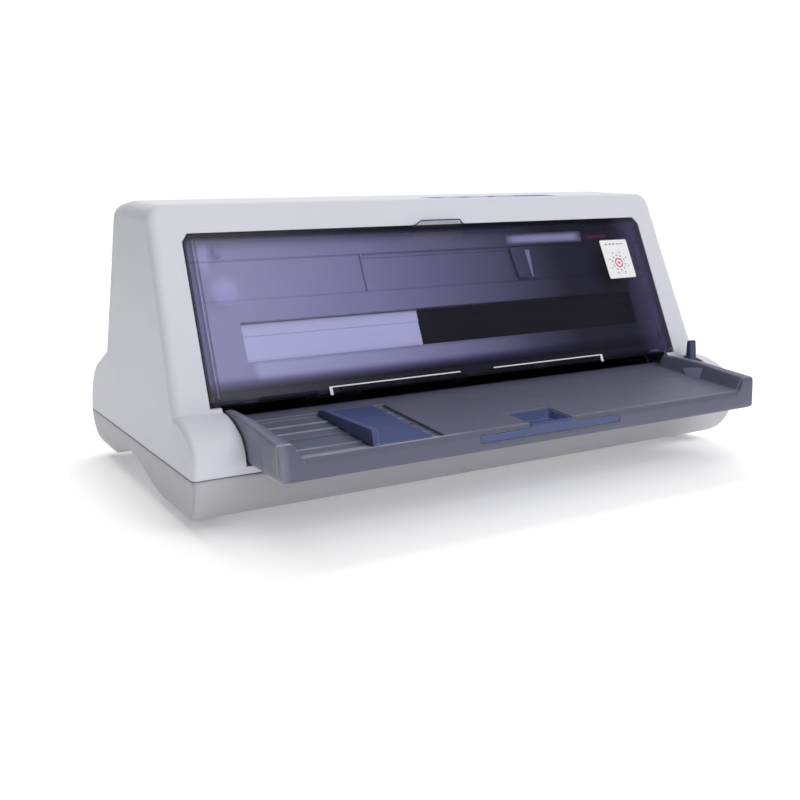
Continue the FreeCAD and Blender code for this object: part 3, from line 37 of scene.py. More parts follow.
# The slanted face: its foot, and its directions across, up and inwards.
TILT = math.radians(22.58)
FACE = Vector((0.0, -0.06835, 0.0632))
UP = Vector((0.0, math.sin(TILT), math.cos(TILT)))
IN = Vector((0.0, math.cos(TILT), -math.sin(TILT)))


def on_face(x, y, z):
    """A point given in the plane of the slanted face, in millimetres: across, inwards, up."""
    return FACE + Vector((1, 0, 0)) * (x * MM) + IN * (y * MM) + UP * (z * MM)


# ---------------------------------------------------------------- materials
def srgb(hex_colour):
    """Linear colour of a hex colour."""
    out = []
    for k in (0, 2, 4):
        c = int(hex_colour[k:k + 2], 16) / 255.0
        out.append(c / 12.92 if c <= 0.04045 else ((c + 0.055) / 1.055) ** 2.4)
    return tuple(out)


class Nodes:
    """Small helper around one material's node tree."""

    def __init__(self, name):
        self.mat = bpy.data.materials.new(name)
        self.mat.use_nodes = True
        self.tree = self.mat.node_tree
        self.tree.nodes.clear()
        self.out = self.add("ShaderNodeOutputMaterial")
        self.pos = self.add("ShaderNodeTexCoord").outputs["Object"]

    def add(self, kind, **props):
        n = self.tree.nodes.new(kind)
        for k, v in props.items():
            setattr(n, k, v)
        return n

    def link(self, a, b):
        self.tree.links.new(a, b)

    def noise(self, scale, detail=3.0, rough=0.55, at=None):
        n = self.add("ShaderNodeTexNoise")
        n.inputs["Scale"].default_value = scale
        n.inputs["Detail"].default_value = detail
        n.inputs["Roughness"].default_value = rough
        self.link(at or self.pos, n.inputs["Vector"])
        return n.outputs["Fac"]

    def span(self, value, low, high, a=0.3, b=0.7):
        n = self.add("ShaderNodeMapRange")
        self.link(value, n.inputs["Value"])
        n.inputs["From Min"].default_value = a
        n.inputs["From Max"].default_value = b
        n.inputs["To Min"].default_value = low
        n.inputs["To Max"].default_value = high
        return n.outputs["Result"]

    def math(self, op, a, b=None, clamp=False):
        n = self.add("ShaderNodeMath", operation=op, use_clamp=clamp)
        for k, v in enumerate((a, b)):
            if v is None:
                continue
            if isinstance(v, (int, float)):
                n.inputs[k].default_value = v
            else:
                self.link(v, n.inputs[k])
        return n.outputs[0]

    def mix(self, fac, a, b, blend="MIX"):
        n = self.add("ShaderNodeMix", data_type="RGBA", blend_type=blend)
        for socket, v in ((n.inputs["Factor"], fac), (n.inputs["A"], a), (n.inputs["B"], b)):
            pass
        ins = [i for i in n.inputs if i.enabled]
        for socket, v in zip(ins, (fac, a, b)):
            if isinstance(v, (int, float)):
                socket.default_value = v
            elif isinstance(v, (tuple, list)):
                socket.default_value = (v[0], v[1], v[2], 1.0)
            else:
                self.link(v, socket)
        return [o for o in n.outputs if o.enabled][0]

    def split(self):
        n = self.add("ShaderNodeSeparateXYZ")
        self.link(self.pos, n.inputs[0])
        return n.outputs

    def inside(self, axis, low, high, soft=0.0001):
        """1 where the coordinate lies between low and high."""
        c = self.split()[axis]
        up = self.span(c, 0.0, 1.0, low - soft, low + soft)
        down = self.span(c, 1.0, 0.0, high - soft, high + soft)
        return self.math("MULTIPLY", up, down)

    def bump(self, height, strength, distance=0.001, normal=None):
        n = self.add("ShaderNodeBump")
        n.inputs["Strength"].default_value = strength
        n.inputs["Distance"].default_value = distance
        self.link(height, n.inputs["Height"])
        if normal is not None:
            self.link(normal, n.inputs["Normal"])
        return n.outputs["Normal"]

    def soft_edges(self, radius):
        n = self.add("ShaderNodeBevel", samples=4)
        n.inputs["Radius"].default_value = radius
        return n.outputs["Normal"]

    def edge_wear_and_highlight(self, radius):
        """1 along sharp outer edges and corners, falling to 0 over the radius."""
        soft = self.soft_edges(radius)
        flat = self.add("ShaderNodeNewGeometry").outputs["Normal"]
        d = self.add("ShaderNodeVectorMath", operation="DOT_PRODUCT")
        self.link(soft, d.inputs[0])
        self.link(flat, d.inputs[1])
        return self.span(d.outputs["Value"], 1.0, 0.0, 0.80, 0.985)

    def along(self, direction, origin):
        """Distance of a point from the origin along a direction."""
        d = self.add("ShaderNodeVectorMath", operation="DOT_PRODUCT")
        self.link(self.pos, d.inputs[0])
        d.inputs[1].default_value = tuple(direction)
        return self.math("SUBTRACT", d.outputs["Value"], float(Vector(origin).dot(Vector(direction))))

    def band(self, value, low, high, soft=0.0002):
        """1 where a value lies between low and high."""
        return self.math("MULTIPLY", self.span(value, 0.0, 1.0, low - soft, low + soft), self.span(value, 1.0, 0.0, high - soft, high + soft))

    def most(self, *values):
        out = values[0]
        for v in values[1:]:
            out = self.math("MAXIMUM", out, v)
        return out

    def principled(self, **values):
        p = self.add("ShaderNodeBsdfPrincipled")
        for k, v in values.items():
            p.inputs[k.replace("_", " ")].default_value = v
        return p


def moulded(name, colour, rough=0.5, vary=0.03, grain=0.10, grain_scale=2600.0, edge=0.0005, specular=0.5, coat=0.0, blotch=14.0, dust=0.0, edge_wear_and_highlight=None, lines=None):
    """Moulded plastic: a fine eroded grain, a slow drift of colour, softened edges and uneven gloss."""
    m = Nodes(name)
    drift = m.noise(blotch, 4.0, 0.6)
    fine = m.noise(420.0, 2.0)
    dark = tuple(c * (1 - vary) for c in colour)
    light = tuple(min(1.0, c * (1 + vary)) for c in colour)
    tone = m.mix(m.span(drift, 0.0, 1.0), dark, light)
    tone = m.mix(m.span(fine, 0.0, 0.5), tone, tuple(c * (1 - vary * 0.6) for c in colour))
    if dust:
        up = m.add("ShaderNodeNewGeometry")
        sep = m.add("ShaderNodeSeparateXYZ")
        m.link(up.outputs["Normal"], sep.inputs[0])
        lie = m.math("MULTIPLY", m.span(sep.outputs[2], 0.0, 1.0, 0.6, 1.0), m.span(m.noise(160.0, 5.0, 0.7), 0.0, dust, 0.45, 0.75))
        tone = m.mix(lie, tone, (0.45, 0.45, 0.45))
    gloss = m.span(m.noise(55.0, 5.0, 0.65), rough - 0.06, rough + 0.06)
    # edges lightened both as wear and as painted highlight
    if edge_wear_and_highlight:
        wear_and_highlight_mask = m.math("MULTIPLY", m.edge_wear_and_highlight(edge_wear_and_highlight[1]), m.span(m.noise(75.0, 4.0, 0.6), edge_wear_and_highlight[2] * 0.6, edge_wear_and_highlight[2]))
        tone = m.mix(wear_and_highlight_mask, tone, edge_wear_and_highlight[0])
        gloss = m.math("SUBTRACT", gloss, m.math("MULTIPLY", wear_and_highlight_mask, 0.12))
    # painted highlights: lighter lines where the lines mask is set
    if lines:
        painted_highlight_lines = m.math("MULTIPLY", lines(m), m.span(m.noise(60.0, 3.0, 0.6), 0.35, 1.0))
        tone = m.mix(painted_highlight_lines, tone, edge_wear_and_highlight[0])
    p = m.principled(Specular_IOR_Level=specular, Coat_Weight=coat, Coat_Roughness=0.15)
    m.link(tone, p.inputs["Base Color"])
    m.link(gloss, p.inputs["Roughness"])
    grainy = m.noise(grain_scale, 2.0, 0.6)
    m.link(m.bump(grainy, grain, 0.0004, m.soft_edges(edge) if edge else None), p.inputs["Normal"])
    m.link(p.outputs[0], m.out.inputs["Surface"])
    return m.mat


def metal(name, colour, rough=0.3, brush=(1, 1, 1), grain=0.05, scale=900.0, edge=0.0003, vary=0.05):
    """Bare metal: brush marks along the axis with the smallest value in brush."""
    m = Nodes(name)
    stretch = m.add("ShaderNodeMapping")
    stretch.inputs["Scale"].default_value = brush
    m.link(m.pos, stretch.inputs["Vector"])
    lines = m.noise(scale, 3.0, 0.6, stretch.outputs[0])
    cloud = m.noise(30.0, 4.0, 0.6)
    tone = m.mix(m.span(cloud, 0.0, 1.0), tuple(c * (1 - vary) for c in colour), tuple(min(1, c * (1 + vary)) for c in colour))
    tone = m.mix(m.span(lines, 0.0, 0.35), tone, tuple(c * 0.86 for c in colour))
    p = m.principled(Metallic=1.0)
    m.link(tone, p.inputs["Base Color"])
    m.link(m.span(lines, max(0.05, rough - 0.07), rough + 0.08), p.inputs["Roughness"])
    m.link(m.bump(lines, grain, 0.0002, m.soft_edges(edge) if edge else None), p.inputs["Normal"])
    m.link(p.outputs[0], m.out.inputs["Surface"])
    return m.mat


def rubber(name, colour, rough=0.75):
    return moulded(name, colour, rough=rough, vary=0.12, grain=0.25, grain_scale=1800.0, edge=0.0004, specular=0.3)


def smoked(name, tint, haze_colour, haze, rough=0.04):
    """Clear tinted plastic sheet: the tint of one pass, a little milkiness, painted highlights near its left end, and a
    mirror that grows towards the edge of sight.
    """
    m = Nodes(name)
    cloud = m.noise(9.0, 3.0, 0.6)
    # the finger tab stands in front of the sheet and is nearly clear
    tab = m.span(m.along(IN, FACE), 1.0, 0.0, -0.0004, -0.0003)
    x = m.split()[0]
    v = m.along(UP, FACE)
    # distance from the sheet's side edges, which lean in towards the top
    inset = m.math("SUBTRACT", m.math("SUBTRACT", 0.1693, m.math("MULTIPLY", v, 0.0179)), m.math("ABSOLUTE", x))
    left = m.span(x, 1.0, 0.0, -0.001, 0.001)
    rim = m.most(m.math("MULTIPLY", left, m.span(inset, 1.0, 0.0, 0.0010, 0.0016)),
                 m.math("MULTIPLY", m.math("SUBTRACT", 1.0, left), m.span(inset, 1.0, 0.0, 0.0022, 0.0030)),
                 m.span(v, 0.0, 1.0, 0.0992, 0.0996))
    # moulded step that runs down inside both side edges, and small ticks on the right one
    upright = m.band(v, 0.004, 0.0975)
    step = m.math("MULTIPLY", m.math("MULTIPLY", m.most(m.band(inset, 0.0042, 0.0047, 0.00015), m.band(inset, 0.0063, 0.0068, 0.00015)), left), upright)
    step = m.math("MULTIPLY", step, 0.85)
    # painted highlight along the step inside the left edge
    painted_step_highlight = m.math("MULTIPLY", m.math("MULTIPLY", m.band(inset, 0.0050, 0.0060), left), upright)
    ticks = m.math("MULTIPLY", m.math("MULTIPLY", m.band(inset, 0.0, 0.0052), m.math("SUBTRACT", 1.0, left)), m.most(m.band(v, 0.0833, 0.0842), m.band(v, 0.0580, 0.0589)))
    strip = m.math("MULTIPLY", m.math("MULTIPLY", m.band(inset, 0.0, 0.0042), left), 0.45)
    foot = m.math("MULTIPLY", m.span(v, 1.0, 0.0, 0.0125, 0.0155), 0.35)
    clear = m.add("ShaderNodeBsdfTransparent")
    body_tint = m.mix(m.span(cloud, 0.0, 1.0), tuple(c * 0.985 for c in tint), tuple(min(1.0, c * 1.01) for c in tint))
    body_tint = m.mix(m.most(strip, foot), body_tint, (0.42, 0.39, 0.62))
    body_tint = m.mix(m.most(rim, step), body_tint, (0.10, 0.085, 0.19))
    body_tint = m.mix(ticks, body_tint, (0.02, 0.02, 0.03))
    # the right margin scatters a little violet light
    veil = m.math("MULTIPLY", m.math("SUBTRACT", 1.0, left), m.span(inset, 0.060, 0.0, 0.004, 0.026))
    m.link(m.mix(tab, body_tint, (0.95, 0.95, 0.97)), clear.inputs["Color"])
    haze_and_highlight_layer = m.add("ShaderNodeBsdfDiffuse")
    m.link(m.mix(m.span(m.noise(30.0, 4.0), 0.0, 1.0), tuple(c * 0.94 for c in haze_colour), haze_colour), haze_and_highlight_layer.inputs["Color"])
    body = m.add("ShaderNodeMixShader")
    # painted highlight: a soft pale spot near the sheet's left end, standing in for a reflection
    painted_highlight_spot = m.add("ShaderNodeVectorMath", operation="DISTANCE")
    m.link(m.pos, painted_highlight_spot.inputs[0])
    painted_highlight_spot.inputs[1].default_value = tuple(on_face(-148.7, 0.0, 66.0))
    highlight_falloff = m.add("ShaderNodeMapRange", interpolation_type="SMOOTHERSTEP")
    m.link(painted_highlight_spot.outputs["Value"], highlight_falloff.inputs["Value"])
    for key, value in (("From Min", 0.002), ("From Max", 0.0125), ("To Min", 0.20), ("To Max", 0.0)):
        highlight_falloff.inputs[key].default_value = value
    # painted reflection: a pale patch in the sheet's upper left corner
    painted_reflection_patch = m.math("MULTIPLY", m.math("MULTIPLY", m.band(inset, 0.0070, 0.0125, 0.0012), left), m.math("MULTIPLY", m.band(v, 0.078, 0.094, 0.004), 0.15))
    haze_and_painted_highlight = m.math("ADD", m.span(m.noise(22.0, 5.0, 0.7), haze * 0.9, haze * 1.1), m.most(highlight_falloff.outputs["Result"], painted_reflection_patch, veil, m.math("MULTIPLY", painted_step_highlight, 0.12)))
    m.link(haze_and_painted_highlight, body.inputs["Fac"])
    m.link(clear.outputs[0], body.inputs[1])
    m.link(haze_and_highlight_layer.outputs[0], body.inputs[2])
    gloss = m.add("ShaderNodeBsdfGlossy")
    gloss.inputs["Color"].default_value = (1, 1, 1, 1)
    m.link(m.span(m.noise(40.0, 5.0, 0.7), rough * 0.7, rough * 1.5), gloss.inputs["Roughness"])
    m.link(m.bump(m.noise(6.0, 2.0), 0.05, 0.002), gloss.inputs["Normal"])
    facing = m.add("ShaderNodeLayerWeight")
    facing.inputs["Blend"].default_value = 0.5
    edge = m.math("POWER", facing.outputs["Facing"], 5.0)
    share = m.math("ADD", m.math("MULTIPLY", edge, 0.5), 0.04)
    top = m.add("ShaderNodeMixShader")
    m.link(share, top.inputs["Fac"])
    m.link(body.outputs[0], top.inputs[1])
    m.link(gloss.outputs[0], top.inputs[2])
    m.link(top.outputs[0], m.out.inputs["Surface"])
    return m.mat


WHITE = moulded("case_white_plastic", srgb("d5d5df"), rough=0.48, vary=0.012, grain=0.10, edge=0.0008)
# painted shade: the lower case is the same plastic as the upper case, made darker here to stand in for the shade under
# the tray
CASE_PAINTED_SHADE = moulded("case_plastic_painted_shade", srgb("b7b6bb"), rough=0.5, vary=0.015, grain=0.12, edge=0.0035)
# painted highlights on the tray: lighter edges, lighter lines along the recess ridges and the recess front edge, and a
# lighter left wall
TRAY = moulded("tray_grey_plastic", srgb("5c5e72"), rough=0.5, vary=0.02, grain=0.12, edge=0.0030, dust=0.04,
                edge_wear_and_highlight=(srgb("b6b8c8"), 0.0007, 0.9), lines=lambda m: m.most(m.span(m.split()[0], 0.34, 0.0, -0.1600, -0.1560),
                    m.math("MULTIPLY", m.inside(1, -0.1452, -0.1438, 0.0003), m.span(m.split()[0], 0.95, 0.25, -0.075, -0.055)), m.math("MULTIPLY", m.inside(0, -0.1475, -0.066), m.most(
                    m.inside(1, -0.1384, -0.1376, 0.0002), m.inside(1, -0.1286, -0.1280, 0.0002), m.inside(1, -0.0996, -0.0988, 0.0002),
                    m.inside(1, -0.0866, -0.0852, 0.0002)))))
# guide edges lightened both as wear and as painted highlight
BLUE = moulded("guide_blue_plastic", srgb("434f7a"), rough=0.4, vary=0.03, grain=0.06, edge=0.0008, edge_wear_and_highlight=(srgb("93a3cc"), 0.0008, 0.95))
NAVY = moulded("lever_navy_plastic", srgb("323a5c"), rough=0.35, vary=0.03, grain=0.05, edge=0.0008)
BLACK = moulded("black_plastic", srgb("1b1b1e"), rough=0.42, vary=0.08, grain=0.10)
DARK = moulded("mechanism_black_plastic", srgb("26262b"), rough=0.5, vary=0.08, grain=0.12)
WHITE_GEAR = moulded("gear_acetal", srgb("e2e0d2"), rough=0.38, vary=0.02, grain=0.04, grain_scale=1500.0, edge=0.0002)
SMOKE = smoked("cover_tinted_plastic", (0.842, 0.842, 0.956), (0.58, 0.50, 0.95), 0.006)
STEEL = metal("zinc_plated_sheet", (0.56, 0.57, 0.58), rough=0.38, brush=(0.15, 1, 1))
GROUND = metal("ground_shaft_steel", (0.70, 0.70, 0.72), rough=0.16, brush=(3, 1, 1), scale=2500.0, grain=0.02)
BRASS = metal("turned_brass", (0.74, 0.55, 0.26), rough=0.25, brush=(3, 1, 1), scale=2500.0)
HEAD = moulded("head_black_alloy", srgb("2c2c30"), rough=0.45, vary=0.1, grain=0.2, grain_scale=1500.0)
MOTOR = metal("motor_can_steel", (0.30, 0.30, 0.32), rough=0.42, brush=(1, 1, 0.2))
RUBBER = rubber("platen_rubber", srgb("262628"))
FOOT = rubber("foot_rubber", srgb("48484c"))
BELT = rubber("belt_rubber", srgb("1e1e20"))


def bright_plate():
    """Satin steel plate with long brush marks."""
    m = Nodes("bright_plate_steel")
    stretch = m.add("ShaderNodeMapping")
    stretch.inputs["Scale"].default_value = (0.02, 1, 1)
    m.link(m.pos, stretch.inputs["Vector"])
    lines = m.noise(2600.0, 3.0, 0.6, stretch.outputs[0])
    x = m.split()[0]
    ramp = m.span(x, 0.0, 1.0, -0.14, -0.022)
    tone = m.mix(ramp, (0.90, 0.90, 0.91), (0.97, 0.97, 0.97))
    p = m.principled(Specular_IOR_Level=0.7)
    m.link(tone, p.inputs["Base Color"])
    m.link(m.span(lines, 0.24, 0.4), p.inputs["Roughness"])
    m.link(m.bump(lines, 0.03, 0.0002, m.soft_edges(0.0003)), p.inputs["Normal"])
    m.link(p.outputs[0], m.out.inputs["Surface"])
    return m.mat


def inner_plastic():
    """The panel behind the cover: greyish plastic with painted light: a painted reflection that pales its left end, and
    painted shade that darkens it towards the right end and the foot.
    """
    m = Nodes("inner_panel_painted_light")
    c = m.split()
    v = m.along(UP, FACE)
    drift = m.noise(10.0, 4.0, 0.6)
    # painted reflection and shade: pale at the left end, falling to near black towards the right end
    tone = m.mix(m.span(c[0], 0.0, 1.0, -0.165, -0.05), srgb("c4c0ca"), srgb("aca9b5"))
    tone = m.mix(m.span(c[0], 0.0, 1.0, -0.05, 0.10), tone, srgb("1f1e26"))
    tone = m.mix(m.span(drift, 0.0, 0.08), tone, srgb("6a6972"))
    # a paler band above the foot; its fade towards the right is painted light
    lower = m.math("MULTIPLY", m.band(v, 0.0130, 0.0245, 0.0012), m.span(c[0], 0.0, 1.0, -0.1375, -0.1345))
    tone = m.mix(m.math("MULTIPLY", lower, m.span(c[0], 0.8, 0.0, -0.13, 0.06)), tone, srgb("e6e6ea"))
    # painted shade: near black along the foot
    low = m.span(v, 1.0, 0.0, 0.0090, 0.0155)
    tone = m.mix(low, tone, srgb("0e0e12"))
    p = m.principled(Specular_IOR_Level=0.25)
    m.link(tone, p.inputs["Base Color"])
    m.link(m.span(m.noise(50.0, 5.0, 0.65), 0.30, 0.42), p.inputs["Roughness"])
    m.link(m.bump(m.noise(2400.0, 2.0), 0.08, 0.0004, m.soft_edges(0.0006)), p.inputs["Normal"])
    m.link(p.outputs[0], m.out.inputs["Surface"])
    return m.mat


def ribbon_cloth():
    m = Nodes("inked_ribbon_cloth")
    w = m.add("ShaderNodeTexWave", wave_type="BANDS", bands_direction="X")
    w.inputs["Scale"].default_value = 900.0
    m.link(m.pos, w.inputs["Vector"])
    v = m.add("ShaderNodeTexWave", wave_type="BANDS", bands_direction="Y")
    v.inputs["Scale"].default_value = 900.0
    m.link(m.pos, v.inputs["Vector"])
    weave = m.math("ADD", w.outputs["Fac"], v.outputs["Fac"])
    p = m.principled(Sheen_Weight=0.3)
    m.link(m.mix(m.span(weave, 0.0, 1.0, 0.0, 2.0), (0.006, 0.006, 0.007), (0.02, 0.02, 0.023)), p.inputs["Base Color"])
    m.link(m.span(m.noise(80.0), 0.7, 0.9), p.inputs["Roughness"])
    m.link(m.bump(weave, 0.3, 0.0002), p.inputs["Normal"])
    m.link(p.outputs[0], m.out.inputs["Surface"])
    return m.mat


def board(name, top, parts_colour=(0.012, 0.012, 0.014)):
    """Coated circuit board up to the height top, with lighter tracks along a cell pattern, and dark parts above it."""
    m = Nodes(name)
    c = m.split()
    cell = m.add("ShaderNodeTexVoronoi", feature="DISTANCE_TO_EDGE")
    cell.inputs["Scale"].default_value = 160.0
    m.link(m.pos, cell.inputs["Vector"])
    tracks = m.span(cell.outputs["Distance"], 1.0, 0.0, 0.03, 0.06)
    green = m.mix(tracks, (0.02, 0.11, 0.05), (0.05, 0.20, 0.09))
    above = m.span(c[2], 0.0, 1.0, top + 0.00005, top + 0.0001)
    tall = m.noise(70.0, 0.0)
    tone = m.mix(above, green, m.mix(m.span(tall, 0.0, 1.0, 0.45, 0.5), parts_colour, (0.05, 0.05, 0.055)))
    p = m.principled()
    m.link(tone, p.inputs["Base Color"])
    m.link(m.span(m.noise(60.0), 0.35, 0.5), p.inputs["Roughness"])
    m.link(m.bump(tracks, 0.2, 0.0001), p.inputs["Normal"])
    m.link(p.outputs[0], m.out.inputs["Surface"])
    return m.mat


def panel_film():
    """Printed film of the control panel: greyish at the left, blue to the right."""
    m = Nodes("panel_film")
    c = m.split()
    right = m.span(c[0], 0.0, 1.0, 0.010, 0.075)
    tone = m.mix(right, srgb("8393b0"), srgb("3f6fae"))
    line = m.inside(1, -0.0182, -0.0178, 0.00005)
    tone = m.mix(line, tone, srgb("c8d2e2"))
    tone = m.mix(m.span(m.noise(35.0), 0.0, 0.12), tone, srgb("6b86ac"))
    p = m.principled(Specular_IOR_Level=0.12)
    m.link(tone, p.inputs["Base Color"])
    m.link(m.span(m.noise(90.0, 4.0), 0.46, 0.58), p.inputs["Roughness"])
    m.link(m.bump(m.noise(1800.0), 0.05, 0.0003, m.soft_edges(0.0003)), p.inputs["Normal"])
    m.link(p.outputs[0], m.out.inputs["Surface"])
    return m.mat


def port_plastic():
    """Black connector bodies, with bright metal where the shells and pins are."""
    m = Nodes("connector_black_and_tin")
    shell = m.math("MULTIPLY", m.inside(1, 0.1299, 0.140), m.inside(0, -0.070, 0.0))
    usb = m.math("MULTIPLY", m.inside(1, 0.1195, 0.128), m.inside(0, -0.166, -0.152))
    pins = m.math("MULTIPLY", m.inside(1, 0.1075, 0.1206), m.math("MULTIPLY", m.inside(0, 0.1495, 0.1668), m.inside(2, 0.0441, 0.0523)))
    tin = m.math("MAXIMUM", m.math("MAXIMUM", shell, usb), pins)
    tone = m.mix(tin, (0.016, 0.016, 0.018), (0.62, 0.61, 0.58))
    tone = m.mix(m.span(m.noise(60.0), 0.0, 0.15), tone, (0.05, 0.05, 0.05))
    p = m.principled()
    m.link(tone, p.inputs["Base Color"])
    m.link(tin, p.inputs["Metallic"])
    m.link(m.span(m.noise(60.0, 4.0), 0.32, 0.45), p.inputs["Roughness"])
    m.link(m.bump(m.noise(2200.0), 0.12, 0.0003, m.soft_edges(0.0003)), p.inputs["Normal"])
    m.link(p.outputs[0], m.out.inputs["Surface"])
    return m.mat


def lamp_lens():
    m = Nodes("lamp_lens")
    p = m.principled(Coat_Weight=0.5, Coat_Roughness=0.05)
    m.link(m.mix(m.span(m.noise(300.0), 0.0, 1.0), srgb("5f9a6c"), srgb("78b586")), p.inputs["Base Color"])
    m.link(m.span(m.noise(200.0), 0.15, 0.25), p.inputs["Roughness"])
    m.link(p.outputs[0], m.out.inputs["Surface"])
    return m.mat


MATERIALS = {
    "upper_case": WHITE, "connector_bezels": WHITE, "lower_case": CASE_PAINTED_SHADE, "paper_tray": TRAY, "edge_guide": BLUE, "paper_support": BLUE, "lever": NAVY,
    "front_cover": SMOKE, "inner_panel": inner_plastic(), "entry_guide": BLACK, "ribbon_cartridge": moulded("cartridge_black_plastic", srgb("131315"), rough=0.7, vary=0.1, grain=0.08, specular=0.06), "ribbon_knob": BLACK,
    "head_cover_plate": bright_plate(), "ribbon_cradle": DARK, "carriage": DARK, "paper_guide": DARK, "ink_ribbon": ribbon_cloth(),
    "left_side_frame": STEEL, "right_side_frame": STEEL, "chassis_plate": STEEL, "motor_bracket": STEEL, "idler_bracket": STEEL, "carriage_rail": STEEL,
    "guide_shaft": GROUND, "platen_shaft": GROUND, "front_feed_shaft": GROUND, "rear_feed_shaft": GROUND, "lever_pin": GROUND, "case_screws": GROUND,
    "front_pinch_rollers": BLACK, "rear_pinch_rollers": BLACK, "carriage_bushes": BRASS, "motor_pinion": BRASS, "print_head": HEAD,
    "carriage_motor": MOTOR, "feed_motor": MOTOR, "timing_belt": BELT, "rubber_feet": FOOT,
    "platen_roller": RUBBER, "front_feed_rollers": RUBBER, "rear_feed_rollers": RUBBER,
    "main_board": board("main_board_coat", 0.0376), "power_board": board("power_board_coat", 0.0174), "panel_board": board("panel_board_coat", 0.1622),
    "power_inlet": port_plastic(), "interface_ports": port_plastic(), "switch_housing": BLACK, "switch_rocker": BLACK,
    "control_panel": panel_film(), "indicator_lamps": lamp_lens(),
}
for g in ("drive_pulley", "idler_pulley", "platen_gear", "front_feed_gear", "rear_feed_gear", "front_idler_gear", "rear_idler_gear"):
    MATERIALS[g] = WHITE_GEAR
KEY = moulded("key_grey_plastic", srgb("c3c8d2"), rough=0.4, vary=0.02, grain=0.06)
for k in (1, 2, 3):
    MATERIALS["panel_key_%d" % k] = KEY

for node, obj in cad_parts.items():
    mat = MATERIALS[node]
    if not obj.data.materials:
        obj.data.materials.append(mat)
    for s in obj.material_slots:
        s.material = mat


# ---------------------------------------------------------------- pieces built as meshes
def piece(name, bm, mat, body, smooth=True):
    me = bpy.data.meshes.new(name)
    bmesh.ops.recalc_face_normals(bm, faces=bm.faces)
    bm.to_mesh(me)
    bm.free()
    me.materials.append(mat)
    if smooth:
        for f in me.polygons:
            f.use_smooth = True
    o = bpy.data.objects.new(name, me)
    bpy.context.collection.objects.link(o)
    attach(o, body)
    return o


def slab(bm, outline, low, high, at):
    """Closed slab: outline is a list of (u, v), low and high its two levels, and at(u, v, w) gives the point."""
    lower = [bm.verts.new(at(u, v, low)) for u, v in outline]
    upper = [bm.verts.new(at(u, v, high)) for u, v in outline]
    bm.faces.new(lower)
    bm.faces.new(list(reversed(upper)))
    n = len(outline)
    for i in range(n):
        j = (i + 1) % n
        bm.faces.new((lower[i], upper[i], upper[j], lower[j]))


def rounded_box(x0, x1, y0, y1, r, steps=5):
    pts = []
    for cx, cy, a0 in ((x1 - r, y0 + r, -90), (x1 - r, y1 - r, 0), (x0 + r, y1 - r, 90), (x0 + r, y0 + r, 180)):
        for k in range(steps + 1):
            a = math.radians(a0 + 90.0 * k / steps)
            pts.append((cx + r * math.cos(a), cy + r * math.sin(a)))
    return pts


def disc(cx, cy, r, steps=24, inner=None, a0=0.0, a1=360.0):
    pts = [(cx + r * math.cos(math.radians(a0 + (a1 - a0) * k / steps)), cy + r * math.sin(math.radians(a0 + (a1 - a0) * k / steps)))
           for k in range(steps if a1 - a0 >= 360 else steps + 1)]
    if inner is not None:
        pts += [(cx + inner * math.cos(math.radians(a1 - (a1 - a0) * k / steps)), cy + inner * math.sin(math.radians(a1 - (a1 - a0) * k / steps)))
                for k in range(steps + 1)]
    return pts


def face_at(u, v, w):
    return on_face(u, w, v)


def bevelled(o, width, segments=2, angle=30):
    m = o.modifiers.new("edges", "BEVEL")
    m.width = width
    m.segments = segments
    m.limit_method = "ANGLE"
    m.angle_limit = math.radians(angle)
    return o


PRINT = moulded("printed_white_ink", srgb("e6e6ea"), rough=0.45, vary=0.03, grain=0.05, edge=0)
PAPER = moulded("sticker_paper", srgb("eeeef0"), rough=0.4, vary=0.015, grain=0.04, edge=0, coat=0.2)

# printable-range bracket across the foot of the cover
bm = bmesh.new()
for x0, x1 in ((-97.0, -7.6), (17.3, 105.0)):
    slab(bm, rounded_box(x0, x1, 3.0, 3.75, 0.3, 3), -0.06, 0.02, face_at)
for x0 in (-97.6, 103.9):
    slab(bm, rounded_box(x0, x0 + 1.9, -1.4, 3.75, 0.3, 3), -0.07, 0.02, face_at)
piece("range_bracket", bm, PRINT, "cover", smooth=False)

# sticker with a plain ring pattern
corners = [(128.6, 84.9), (152.7, 84.9), (153.7, 56.5), (130.1, 56.3)]


def quad(u, v, w):
    """Point of the sticker: u, v from 0 to 1 across and down."""
    top = Vector(corners[0]).lerp(Vector(corners[1]), u)
    low = Vector(corners[3]).lerp(Vector(corners[2]), u)
    p = top.lerp(low, v)
    return on_face(p.x, w, p.y)


bm = bmesh.new()
slab(bm, rounded_box(0.0, 1.0, 0.0, 1.0, 0.04, 4), -0.10, 0.01, quad)
piece("cover_sticker", bm, PAPER, "cover", smooth=False)
INKS = {
    "grey": moulded("ink_grey", srgb("8d8d94"), rough=0.5, vary=0.05, grain=0.04, edge=0),
    "rose": moulded("ink_rose", srgb("cf5f7e"), rough=0.5, vary=0.05, grain=0.04, edge=0),
    "green": moulded("ink_green", srgb("7fa58c"), rough=0.5, vary=0.05, grain=0.04, edge=0),
}
shapes = {"grey": [], "rose": [], "green": []}
ratio = 24.0 / 28.5


def ring(r0, r1, a0, a1, cx=0.5, cy=0.60):
    pts = disc(0, 0, r1, 14, r0, a0, a1)
    return [(cx + px, cy + py * ratio) for px, py in pts]


